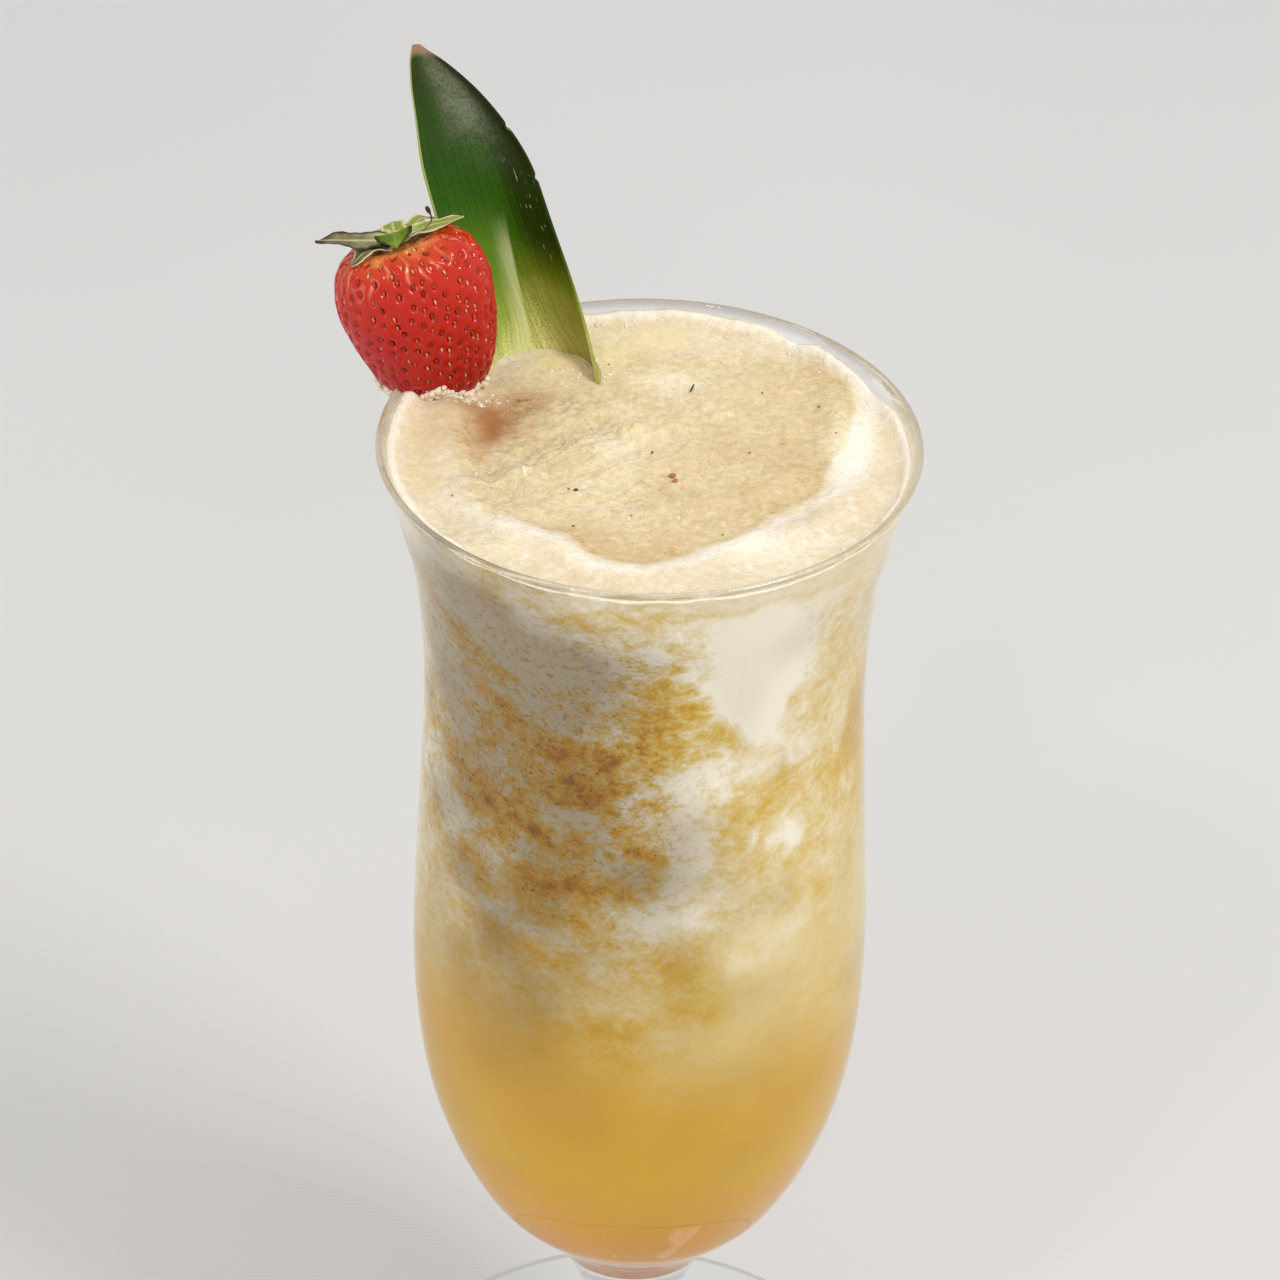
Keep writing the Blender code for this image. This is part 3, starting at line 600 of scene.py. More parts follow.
# Where the foam is wet and wrinkled: (x, y), half width across, half width up, and how much
WET = [
    (-11, 3, 9, 8, 1.0), (-22, -7, 7, 8, 0.8), (-4, -12, 9, 5, 0.5), (-18, 14, 9, 4, 0.6),
    (4, 18, 10, 5, 0.35), (-22, -22, 9, 5, 0.5), (24, 28, 8, 6, 0.4), (18, -20, 12, 4, 0.3),
    (10, 2, 10, 8, 0.2),
]


def wrinkles(x, y):
    """Curled wrinkles: 1 - 2 |lumps| of two sizes, drawn out along a line up to the right."""
    along, across = 0.8 * x + 0.6 * y, -0.6 * x + 0.8 * y
    across = across + 1.2 * lumps(x, y, 5.0, 6)
    large = 1 - 2 * np.abs(lumps(along / 2.4, across, 1.5, 7))
    small = 1 - 2 * np.abs(lumps(along / 1.7, across, 0.8, 8))
    return 0.34 * large + 0.2 * small


def foam_top(x, y):
    """The foam's height with its ruffles, wrinkles and fine lumps, and the film that climbs the wall."""
    inside = 38.4 - np.hypot(x, y)
    left = np.clip(-x / 38, 0, 1) ** 2
    film = (1.1 + left) * np.exp(-np.clip(inside, 0, None) / (0.55 + 0.9 * left))
    fine = 0.12 * lumps(x, y, 2.6, 3) + 0.07 * lumps(x, y, 1.2, 4) + 0.05 * lumps(x, y, 0.6, 5)
    wet = np.clip(patches(x, y, WET), 0, 1)
    return froth_top(x, y) + 0.7 * ridges(x, y, RUFFLES) + fine + wet * wrinkles(x, y) + film


# Tone of the top: (x, y), half width across, half width up, and how much darker it is; the three darker spots
# by the berry's foot, at (-22, 10), (-19, 16) and (-29, 9), are painted shadow of the berry
TONES = [
    (-22, 10, 5.0, 6, 0.25), (-19, 16, 5.0, 4.0, 0.3), (-12, -3, 8, 7, -0.12), (-29, 9, 6, 10, 0.3),
    (-24, -6, 5, 6, -0.12), (22, -4, 4, 9, 0.14), (18, -12, 6, 3, 0.16), (8, -21, 7, 4, 0.22),
    (-2, -25, 8, 3, 0.25), (-9, -21, 4, 4, 0.15), (24, 20, 7, 9, 0.1), (-12, 0, 3, 6, 0.1),
    (5, -9, 6, 3, 0.12), (14, 3, 9, 7, 0.1), (3, 5, 6, 5, -0.15), (-6, 2, 5, 5, -0.2),
    (-7, -7, 5, 4, -0.15), (4, 22, 7, 4, -0.3), (-14, -12, 6, 4, -0.05), (-3, 13, 5, 3, -0.15),
    (-14, 27, 6, 4, -0.3), (-33, 17, 7, 4, -0.5), (30, 2, 3, 9, -0.5), (-20, -24, 8, 4, -0.25),
    (16, -24, 9, 5, -0.3),
]
# Where juice of the berry has stained it, with painted shadow of the berry darkening the foam round its foot,
# and where it is yellow
STAINS_AND_BERRY_SHADOW = [
    (-24.0, 8.5, 2.6, 5.4, 0.62), (-22, 12, 5.5, 5.0, 0.3), (-25.5, 1, 3.0, 5, 0.2),
    (-28.5, 13.5, 5, 3.2, 0.45), (-18, 17, 5, 3, 0.25), (-30, 5, 4, 6, 0.12),
]
YELLOWS = [
    (-35, 3, 4, 8, 0.5), (-26, 22, 4, 4, 0.3), (0, 34, 10, 4, 0.7), (-6, 28, 6, 5, 0.4),
    (34, 4, 3, 10, 0.25), (20, -26, 10, 3, 0.4), (16, 32, 9, 4, 0.15), (-14, 27, 5, 4, 1.0),
    (-20, -23, 8, 4, 0.35), (-12, -2, 8, 8, 0.4), (-33, -10, 4, 8, 0.4), (-3, 8, 1.6, 1.3, 1.2),
    (-22, -26, 9, 3, 0.3), (12, -8, 10, 6, 0.2), (0, -33, 12, 2.5, 0.2),
]


def fruit_foam():
    """Moist foam: the side's marbling below, and on top the tan island, the pale pillow, yellow patches and
    the berry's stain darkened further by painted shadow of the berry, their tones and edges broken by noise;
    wet where it is wrinkled. Light enters it."""
    made, tree, shader = new_finish("fruit_foam")
    where = place(tree)
    side, wet = read(tree, "side"), read(tree, "wet")
    wisps = noise(tree, where, 4.5, 5.0, 0.62)
    grain = noise(tree, where, 0.4, 2.0)
    curds = noise(tree, where, 1.4, 4.0, 0.6, 0.6)
    combed = node(tree, "Mapping", {
        "Vector": where, "Rotation": (0, 0, math.radians(-24)), "Scale": (0.6, 1.4, 1.0)}).outputs[0]
    fibres = noise(tree, combed, 1.3, 4.0, 0.6, 0.4)

    island = stretch(tree, plus(tree, read(tree, "shore"), round_zero(tree, wisps, 2.6)), 0.35, -0.5)
    tone = plus(
        tree, read(tree, "tone"), round_zero(tree, curds, 0.9), round_zero(tree, grain, 0.45),
        round_zero(tree, fibres, 0.35), round_zero(tree, noise(tree, where, 9.0, 2.0), 0.4), 0.43)
    tan = shades(
        tree, tone, (0.0, 240, 227, 197), (0.28, 226, 208, 169), (0.48, 214, 192, 149),
        (0.7, 204, 175, 128), (0.86, 186, 146, 98), (1.0, 158, 106, 64))
    pale = shades(tree, tone, (0.0, 243, 234, 217), (0.42, 223, 207, 176), (1.0, 205, 181, 133))
    top = mixed(tree, island, pale, tan)
    yellow = times(tree, read(tree, "yellow"), plus(tree, wisps, 0.2))
    top = over(tree, top, stretch(tree, yellow, 0.0, 1.1), 238, 216, 152)
    # The berry's stain together with its painted shadow, brown over the top
    stain = times(tree, read(tree, "stain"), plus(tree, wisps, 0.5))
    top = over(tree, top, stretch(tree, stain, 0.0, 1.0), 166, 112, 70)

    on_top = joined(tree, "SUBTRACT", 1.0, side)
    fill(tree, shader, {
        "Base Color": mixed(tree, side, top, side_shades(tree, where)), "Roughness": 0.4,
        "Specular IOR Level": 0.0, "Coat Roughness": 0.15, "Sheen Weight": 0.12, "Sheen Roughness": 0.4,
        "Coat Weight": times(
            tree, on_top, stretch(tree, wet, 0.0, 0.8, 0.2, 0.6), stretch(tree, fibres, 0.3, 0.6, 0.4, 1.0)),
        "Subsurface Weight": times(
            tree, away_from_border(tree, where), stretch(tree, side, 0.0, 1.0, 0.15, 0.2)),
        "Subsurface Radius": (1.0, 0.75, 0.45), "Subsurface Scale": 0.0014,
    })
    relief = plus(tree, times(tree, grain, 0.3), plus(tree, fibres, curds))
    relief = times(tree, relief, stretch(tree, wet, 0.0, 0.8, 0.4, 1.0), on_top)
    bumped(tree, shader, relief, 0.55)
    return made


SIDE_ROWS, TOP_ROWS = 112, 112
froth_high = edge_at(foam_top)
froth_rings = np.concatenate([
    cap_rings(juice_edge, juice_top, CAP_ROWS)[::-1],
    side_rings(juice_edge[1], froth_high[1], SIDE_ROWS),
    cap_rings(froth_high, foam_top, TOP_ROWS),
])
froth_points, froth_faces = ring_net(
    froth_rings, [0, 0, float(juice_top(0.0, 0.0))], [0, 0, float(foam_top(np.zeros(1), np.zeros(1))[0])]
)
foam_x, foam_y, foam_z = froth_points.T
# The underside, its middle point (last but one) and the side are shaded as side, the rest as top
on_side = np.zeros(len(froth_points))
on_side[: (CAP_ROWS - 1 + SIDE_ROWS) * ROUND] = 1.0
on_side[-2] = 1.0
offshore, crisp = shore_distance(foam_x, foam_y)
foam_tone = patches(foam_x, foam_y, TONES)
foam_tone -= 0.4 * bell(np.hypot(foam_x, foam_y) - 38.6, 0.8)
foam_tone += crisp * (0.13 * bell(offshore + 1.0, 0.9) - 0.3 * bell(offshore - 2.4, 1.8))
foam_tone = np.where(foam_tone > 0, 0.8, 1.0) * foam_tone
froth = add_piece(
    "froth_head", froth_points, froth_faces, fruit_foam(), "froth",
    side=on_side, shore=offshore / (1 + 4 * (1 - crisp)), tone=foam_tone,
    wet=patches(foam_x, foam_y, WET), yellow=patches(foam_x, foam_y, YELLOWS),
    stain=patches(foam_x, foam_y, STAINS_AND_BERRY_SHADOW), amber=marbling(foam_x, foam_y, foam_z),
    dull=painted_side_shade(foam_x, foam_y, foam_z),
)
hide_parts("froth")

# Bubbles: the froth's larger bubbles, thin wet films, thickest round the berry, inside the leaf's
# channel and along the wall.

BUBBLES = 300


def ball(rows, sides):
    """Rings of a unit sphere from its top to its bottom, without the two poles."""
    polar = (np.arange(1, rows) / rows * math.pi)[:, None]
    turn = even_turns(sides)
    level = np.cos(polar) + 0 * turn
    return np.stack([np.sin(polar) * np.cos(turn), np.sin(polar) * np.sin(turn), level], axis=-1)


def copies(points, faces, centres, frames):
    """One mesh of many: each copy's points are its centre plus the points in its own three axes."""
    placed = centres[:, None] + np.einsum("pk,nkc->npc", points, frames)
    by_length = {}
    for face in faces:
        by_length.setdefault(len(face), []).append(face)
    shift = (np.arange(len(centres)) * len(points))[:, None, None]
    everything = []
    for group in by_length.values():
        everything += (np.array(group)[None] + shift).reshape(-1, len(group[0])).tolist()
    return placed.reshape(-1, 3), everything


def wet_film():
    """A thin wet film over pale foam, glossy, brighter and duller from place to place."""
    made, tree, shader = new_finish("wet_film")
    where = place(tree)
    fill(tree, shader, {
        "Base Color": shades(tree, noise(tree, where, 2.0), (0.3, 238, 226, 206), (0.7, 220, 196, 160)),
        "Roughness": 0.3, "Subsurface Weight": 0.3, "Subsurface Radius": (1.0, 0.9, 0.75),
        "Subsurface Scale": 0.0003, "Coat Weight": 0.3,
    })
    bumped(tree, shader, noise(tree, where, 0.5), 0.02)
    return made


# Four swarms: round the berry, inside the leaf's channel, along the wall, and scattered over the rest
chance = np.random.default_rng(5)
swarm = chance.choice(4, BUBBLES, p=[0.5, 0.1, 0.34, 0.06])
spread = chance.normal(0, 1, (BUBBLES, 2))
bubble_turn = chance.uniform(-math.pi, math.pi, BUBBLES)
wall_way = 37.9 - np.abs(chance.normal(0, 0.6, BUBBLES))
bubble_xy = np.select(
    [(swarm == 0)[:, None], (swarm == 1)[:, None], (swarm == 2)[:, None]],
    [
        np.array([-30.5, 16.5]) + spread * np.array([3.6, 1.3]),
        np.array([-13.5, 25.5]) + spread * np.array([3.5, 2.2]),
        np.stack([wall_way * np.cos(bubble_turn), wall_way * np.sin(bubble_turn)], axis=1),
    ],
    spread * 14.0,
)
bubble_xy = bubble_xy[np.hypot(bubble_xy[:, 0], bubble_xy[:, 1]) < 38.2]
bubble_size = np.clip(chance.lognormal(-1.4, 0.4, len(bubble_xy)), 0.1, 0.5)
bubble_z = foam_top(bubble_xy[:, 0], bubble_xy[:, 1]) - 0.45 * bubble_size
ball_points, ball_faces = ring_net(ball(6, 10), [0, 0, 1], [0, 0, -1])
bubble_points, bubble_faces = copies(
    ball_points, ball_faces, np.column_stack([bubble_xy, bubble_z]), bubble_size[:, None, None] * np.eye(3)
)
add_piece("froth_bubbles", bubble_points, bubble_faces, wet_film(), "froth")

# Specks: bits of fruit peel, core and mint that came through the blender and float on the foam: a dark
# sliver, a brown crumb in two lobes, and a few fine grains.

# Place, length, width, direction in degrees, and shade from 0 for brown peel to 1 for dark green
SPECKS = [
    (6.3, 20.0, 2.5, 0.32, 76, 1.0), (3.5, -4.7, 1.2, 0.9, 20, 0.1), (3.9, -6.0, 0.9, 0.8, 80, 0.0),
    (-10.8, -9.3, 0.75, 0.55, 0, 0.55), (-11.9, -8.6, 0.5, 0.25, 130, 0.5), (0.4, 2.1, 0.9, 0.25, 75, 0.8),
    (25.5, 15.5, 0.5, 0.35, 10, 0.3), (15.0, 3.0, 0.4, 0.3, 60, 0.3), (-11.0, -18.0, 0.45, 0.35, 0, 0.4),
    (17.0, 19.5, 0.35, 0.3, 40, 0.3), (-2.5, -15.0, 0.3, 0.25, 0, 0.3), (28.0, 7.0, 0.35, 0.25, 90, 0.2),
    (-6.5, 27.0, 0.35, 0.25, 30, 0.3), (-29.0, -13.0, 0.4, 0.25, 140, 0.2), (11.0, -19.5, 0.3, 0.3, 0, 0.2),
]


def peel():
    """Bits of peel: reddish brown over to a dark green, darker in their folds."""
    made, tree, shader = new_finish("peel")
    where = place(tree)
    shade = plus(tree, read(tree, "shade"), round_zero(tree, noise(tree, where, 0.6), 0.5))
    fill(tree, shader, {"Roughness": 0.35, "Base Color": shades(
        tree, shade, (0.0, 176, 112, 60), (0.35, 120, 72, 36), (0.6, 52, 40, 26), (1.0, 38, 46, 30))})
    bumped(tree, shader, noise(tree, where, 0.3), 0.05)
    return made


speck = np.array(SPECKS)
speck_turn = np.radians(speck[:, 4])
speck_way = np.stack([np.cos(speck_turn), np.sin(speck_turn), 0 * speck_turn], axis=1)
speck_side = np.stack([-np.sin(speck_turn), np.cos(speck_turn), 0 * speck_turn], axis=1)
speck_frames = 0.5 * np.stack([
    speck_way * speck[:, 2, None], speck_side * speck[:, 3, None],
    speck[:, 3, None] * np.array([0, 0, 0.8])], axis=1)
speck_at = np.column_stack([speck[:, :2], foam_top(speck[:, 0], speck[:, 1]) + 0.1])
speck_net, speck_faces = ring_net(ball(6, 10)[:, :, [2, 0, 1]], [1, 0, 0], [-1, 0, 0])
speck_points, speck_faces = copies(speck_net, speck_faces, speck_at, speck_frames)
add_piece(
    "peel_specks", speck_points, speck_faces, peel(), "froth", shade=np.repeat(speck[:, 5], len(speck_net))
)

# Strawberry: a fresh berry pushed down over the rim, which has slit it. Its wet red skin stands up in
# rounded cells between the dimples, and it is paler and orange under the calyx.

BERRY_RADIUS, BERRY_LENGTH, BERRY_DEPTH_SHARE = 11.6, 26.8, 0.84
BERRY_TOP = np.array([-38.7, 22.8, 212.8])
BERRY_LEAN, BERRY_NOD = math.radians(-17.0), math.radians(-7.0)
SEEDS = 420
DIMPLE_DEPTH = 0.5
# (share of the radius, share of the length) from the seat over the shoulder to the tip
BERRY_OUTLINE = [
    (0.0, 0.025), (0.28, 0.016), (0.55, 0.0), (0.84, 0.065), (0.97, 0.19), (1.0, 0.33), (0.95, 0.49),
    (0.86, 0.65), (0.74, 0.8), (0.55, 0.925), (0.29, 0.985), (0.0, 1.0),
]
berry_path = curve_through(BERRY_OUTLINE, 12) * np.array([BERRY_RADIUS, BERRY_LENGTH])
berry_run = np.concatenate([[0], np.cumsum(np.linalg.norm(np.diff(berry_path, axis=0), axis=1))])


def tilt(angle, first, second):
    """A turn by the angle in the plane of two axes: cos and sin of it in those rows and columns."""
    turned = np.eye(3)
    turned[first, first] = turned[second, second] = math.cos(angle)
    turned[first, second], turned[second, first] = math.sin(angle), -math.sin(angle)
    return turned


berry_axes = tilt(BERRY_NOD, 2, 1) @ tilt(BERRY_LEAN, 0, 2)


def berry_skin(arc, turn, lift=0.0):
    """Points at the share `arc` of the way from seat to tip and at `turn` round the berry, lifted outward:
    the outline's radius times a lumpy 1 + a cos 3 turn + b cos 2 turn, flatter from front to back."""
    along = unit(np.gradient(berry_path, axis=0))
    at = np.clip(arc, 0, 1) * berry_run[-1]
    lump = 1 + 0.035 * np.cos(3 * turn + 0.6) + 0.03 * np.cos(2 * turn - 0.9)
    radius = np.interp(at, berry_run, berry_path[:, 0]) * lump + lift * np.interp(at, berry_run, along[:, 1])
    depth = np.interp(at, berry_run, berry_path[:, 1]) - lift * np.interp(at, berry_run, along[:, 0])
    local = np.stack([radius * np.cos(turn), BERRY_DEPTH_SHARE * radius * np.sin(turn), -depth], axis=-1)
    return local @ berry_axes.T + BERRY_TOP


def red_skin():
    """Wet red skin: orange and pale at the shoulder, with painted highlights along the creases, mottled, with
    painted shade in the pits, and darker toward the tip."""
    made, tree, shader = new_finish("red_skin")
    where = place(tree)
    mottle = noise(tree, where, 4.0, 3.0)
    skin = shades(
        tree, plus(tree, read(tree, "way"), round_zero(tree, mottle, 0.3)), (0.10, 216, 134, 68),
        (0.17, 196, 62, 8), (0.28, 190, 34, 0), (0.52, 178, 14, 0), (1.0, 140, 4, 0))
    # Painted shade: the dimples darkened toward deep red
    skin = over(tree, skin, times(tree, read(tree, "pit"), 0.25), 126, 8, 0)
    # Painted highlights: the creases painted pale
    crease_highlights = times(tree, read(tree, "crease"), stretch(tree, mottle, 0.35, 0.6, 0.1, 0.7))
    fill(tree, shader, {
        "Base Color": over(tree, skin, crease_highlights, 232, 158, 116),
        "Roughness": stretch(tree, noise(tree, where, 1.5), 0.3, 0.7, 0.2, 0.36),
        "Specular IOR Level": 0.0, "Subsurface Weight": 0.12, "Subsurface Radius": (1.0, 0.2, 0.1),
        "Subsurface Scale": 0.001, "Coat Weight": 0.85, "Coat Roughness": 0.06,
    })
    bumped(tree, shader, noise(tree, where, 0.9), 0.12)
    return made


# Seeds spread evenly round a sphere by the golden angle, each with its three ways: down, aside and out
seed_chance = np.random.default_rng(31)
seed_step = np.arange(SEEDS) + 0.5
seed_polar = np.arccos(1 - 2 * seed_step / SEEDS) + seed_chance.uniform(-0.035, 0.035, SEEDS)
seed_turn = seed_step * math.pi * (3 - math.sqrt(5)) + seed_chance.uniform(-0.05, 0.05, SEEDS)
seed_arc = seed_polar / math.pi
seed_spot = berry_skin(seed_arc, seed_turn)
down_way = unit(berry_skin(seed_arc + 0.01, seed_turn) - berry_skin(seed_arc - 0.01, seed_turn))
side_way = berry_skin(seed_arc, seed_turn + 0.05) - berry_skin(seed_arc, seed_turn - 0.05)
out_way = unit(np.cross(down_way, side_way))
berry_middle = berry_skin(0.5, 0.0) * 0.5 + berry_skin(0.5, math.pi) * 0.5
out_way *= np.sign(((seed_spot - berry_middle) * out_way).sum(1))[:, None]
side_way = np.cross(out_way, down_way)
SKIN_ROWS, SKIN_SIDES = 210, 300
skin_arc, skin_turn = np.meshgrid(
    np.arange(1, SKIN_ROWS) / SKIN_ROWS, even_turns(SKIN_SIDES), indexing="ij")
bare = berry_skin(skin_arc, skin_turn).reshape(-1, 3)
nearest = ((seed_spot**2).sum(1)[None] - 2 * bare @ seed_spot.T).argmin(axis=1)
off = bare - seed_spot[nearest]
pit_size = seed_chance.uniform(0.62, 1.0, SEEDS)[nearest]
down_off, side_off = (off * down_way[nearest]).sum(1), (off * side_way[nearest]).sum(1)
from_seed = np.hypot(down_off / 0.84, side_off / (0.56 - 0.18 * np.clip(down_off, -1, 1))) / pit_size
hollow = eased(np.clip((1.12 - from_seed) / 0.62, 0, 1).reshape(skin_arc.shape))
swell = 0.16 * np.clip(from_seed - 0.9, 0, 1).reshape(skin_arc.shape) * np.sin(math.pi * skin_arc) ** 0.5
swell += 0.12 * lumps(skin_turn * 11, skin_arc * 40, 1.7, 41) * np.sin(math.pi * skin_arc)
# Creases down from the calyx, sunk a little and painted pale as highlights: each a line that winds by
# sin(arc), fading in and out along the berry
CREASES = 22
crease = np.zeros_like(skin_arc)
for k in range(CREASES):
    line = k * 2 * math.pi / CREASES + seed_chance.uniform(-0.12, 0.12) + 0.05 * np.sin(45 * skin_arc + k)
    line = line + seed_chance.uniform(-0.6, 0.6) * (skin_arc - 0.15)
    apart = ((skin_turn - line + math.pi) % (2 * math.pi) - math.pi) * 10.0
    reach = seed_chance.uniform(0.24, 0.34)
    shown = np.clip((skin_arc - 0.1) / 0.03, 0, 1) * np.clip((reach - skin_arc) / 0.06, 0, 1)
    crease += bell(apart, 0.22) * shown
crease = np.clip(crease, 0, 1)
skin_rings = berry_skin(skin_arc, skin_turn, swell - DIMPLE_DEPTH * hollow - 0.14 * crease)
berry_points, berry_faces = ring_net(skin_rings, berry_skin(0.0, 0.0)[None], berry_skin(1.0, 0.0)[None])
berry = add_piece(
    "strawberry_flesh", berry_points, berry_faces, red_skin(), "strawberry_red",
    way=np.append(skin_arc.ravel(), [0, 1]), pit=np.append(hollow.ravel(), [0, 0]),
    crease=np.append(crease.ravel(), [0, 0]),
)
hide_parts("strawberry")

# Seeds: the berry's small dry fruits, one at the bottom of each dimple, lying along the berry.

SEED_LENGTH, SEED_WIDTH, SEED_HEIGHT = 0.46, 0.23, 0.22


def seed_shell():
    """Golden to reddish brown from seed to seed, with a dull gloss."""
    made, tree, shader = new_finish("seed_shell")
    where = place(tree)
    fill(tree, shader, {
        "Base Color": shades(
            tree, read(tree, "ripeness"), (0.0, 238, 176, 112), (0.3, 208, 104, 50), (0.65, 172, 46, 18),
            (1.0, 130, 18, 8)),
        "Roughness": stretch(tree, noise(tree, where, 0.4), 0.3, 0.7, 0.25, 0.45),
        "Coat Weight": 0.5, "Coat Roughness": 0.1,
    })
    bumped(tree, shader, noise(tree, where, 0.3), 0.02)
    return made


seed_size = np.random.default_rng(8).uniform(0.8, 1.15, SEEDS)
seed_frames = seed_size[:, None, None] * np.stack(
    [down_way * SEED_LENGTH, side_way * SEED_WIDTH, out_way * SEED_HEIGHT], axis=1
)
seed_rings = ball(6, 8)[:, :, [2, 0, 1]]
seed_rings = seed_rings * (1 - 0.25 * seed_rings[:, :, :1] * np.array([0, 1, 1]))
seed_net, seed_faces = ring_net(seed_rings, [1, 0, 0], [-1, 0, 0])
seeds_kept = seed_arc > 0.08
seed_points, all_seed_faces = copies(
    seed_net, seed_faces, (seed_spot - (DIMPLE_DEPTH - 0.12) * out_way)[seeds_kept], seed_frames[seeds_kept]
)
add_piece(
    "strawberry_seeds", seed_points, all_seed_faces, seed_shell(), "strawberry_red",
    ripeness=np.repeat(np.random.default_rng(9).uniform(0, 1, int(seeds_kept.sum())), len(seed_net)),
)

# Foam on the berry: bubbles of the froth that the berry pushed up as it went in, heaped against its foot.

HEAPED = 800
skin = skin_rings.reshape(-1, 3)
heap = 190.4 + 2.6 * bell(skin[:, 0] + 32.5, 1.8) + 0.9 * lumps(skin[:, 0], skin[:, 1], 1.6, 12)
washed = skin[(skin[:, 2] > 189.4) & (skin[:, 2] < heap) & (skin[:, 1] < 24.0)]
heap_chance = np.random.default_rng(13)
heap_at = washed[heap_chance.choice(len(washed), HEAPED)] + heap_chance.normal(0, 0.2, (HEAPED, 3))
heap_size = np.clip(heap_chance.lognormal(-1.0, 0.35, HEAPED), 0.2, 0.7)
heap_points, heap_faces = copies(ball_points, ball_faces, heap_at, heap_size[:, None, None] * np.eye(3))
add_piece("berry_foam", heap_points, heap_faces, wet_film(), "froth")

# Calyx: the berry's leafy cap, a small button with seven sepals that have begun to dry. One stands out
# dark and curled to the left, one is folded up bright green, and the rest lie pale on the shoulder.

# Direction in degrees (0 is +X), length, width, rise of the middle, how free it stands, pitch, shade
# from 0 for fresh green to 1 for dried brown, and margin from -1 for dark to 1 for pale
SEPALS = [
    (184, 11.5, 6.4, 0.2, 1.0, 18.0, 0.76, -1.0), (222, 7.8, 4.6, 0.0, 0.0, 0.0, 0.75, 1.0),
    (276, 5.4, 5.8, 1.7, 0.0, 0.0, 0.02, -1.0), (4, 9.8, 4.2, 0.5, 0.5, 4.0, 0.4, 0.8),
    (48, 8.0, 3.8, 0.0, 0.0, 0.0, 0.5, 0.6), (96, 7.6, 4.0, 0.0, 0.0, 0.0, 0.35, 0.6),
    (140, 8.2, 3.8, 0.0, 0.0, 0.0, 0.65, 0.5),
]
SEPAL_LIFT, SEPAL_THICKNESS = 0.85, 0.5


def upward(line, aside):
    """At each point of a line, the unit way square to it and to `aside`, on its upper side."""
    up = unit(np.cross(np.gradient(line, axis=0), aside))
    return up * np.where(up[:, 2:] < 0, -1, 1)


def sepal_sheets(turn, length, width, rise, free, pitch, seed):
    """A sepal's two faces: a middle line over the shoulder, or straight out where it is free, with points
    set across it by a pointed, ragged half width, cupped by u^2 and waved by sin along it."""
    t, u = np.linspace(0, 1, 34), np.linspace(-1, 1, 11)
    arc = (0.8 + length * t) / berry_run[-1]
    half = 0.5 * width * np.clip(np.sin(math.pi * np.clip(0.2 + 0.8 * t, 0, 1)) ** 0.8, 0.05, 1)
    half = half * (1 + 0.06 * np.sin(19 * t + seed) + 0.04 * np.sin(43 * t + 2 * seed))
    heading = math.radians(turn)
    flat_out = np.array([math.cos(heading), math.sin(heading), 0.0])
    aside = np.array([-math.sin(heading), math.cos(heading), 0.0])
    middle = (berry_skin(arc, np.full(t.size, heading)) - BERRY_TOP) @ berry_axes
    middle = middle + upward(middle, aside) * (SEPAL_LIFT + rise * np.sin(math.pi * t**0.7))[:, None]
    straight = middle[0] + length * math.cos(math.radians(pitch)) * t[:, None] * (
        flat_out + np.array([0, 0, math.tan(math.radians(pitch))]))
    middle = middle + free * (straight - middle)
    if 0 < free < 1:
        middle = middle + np.array([0, 0, 1.3]) * np.clip((t[:, None] - 0.65) / 0.35, 0, 1) ** 2
    up = upward(middle, aside)
    cup = 0.25 * u**2 * np.sin(math.pi * t)[:, None] + 0.3 * np.sin(11 * t + seed)[:, None] * np.abs(u)
    cup = cup - 0.18 * bell(u, 0.12) * (1 - t)[:, None]
    sheet = middle[:, None] + (half[:, None] * u)[..., None] * aside + cup[..., None] * up[:, None]
    thick = SEPAL_THICKNESS * (1 - 0.7 * u**2) * (1 - 0.6 * t[:, None])
    shift = 0.5 * thick[..., None] * up[:, None]
    faces = [side @ berry_axes.T + BERRY_TOP for side in (sheet + shift, sheet - shift)]
    return *faces, *np.broadcast_arrays(t[:, None], np.abs(u))


def two_faced(top, under):
    """Points and faces of a closed thin piece between two like grids of points."""
    rows, columns = top.shape[:2]
    size = rows * columns
    number = np.arange(size).reshape(rows, columns)
    a, b, c, d = number[:-1, :-1], number[:-1, 1:], number[1:, 1:], number[1:, :-1]
    upper = np.stack([a, b, c, d], axis=-1).reshape(-1, 4)
    lower = np.stack([a, d, c, b], axis=-1).reshape(-1, 4) + size
    border = np.concatenate([number[0, :-1], number[:-1, -1], number[-1, :0:-1], number[:0:-1, 0]])
    after = np.roll(border, -1)
    edge = np.stack([after, border, border + size, after + size], axis=-1)
    points = np.concatenate([top.reshape(-1, 3), under.reshape(-1, 3)])
    return points, np.vstack([upper, lower, edge]).tolist()


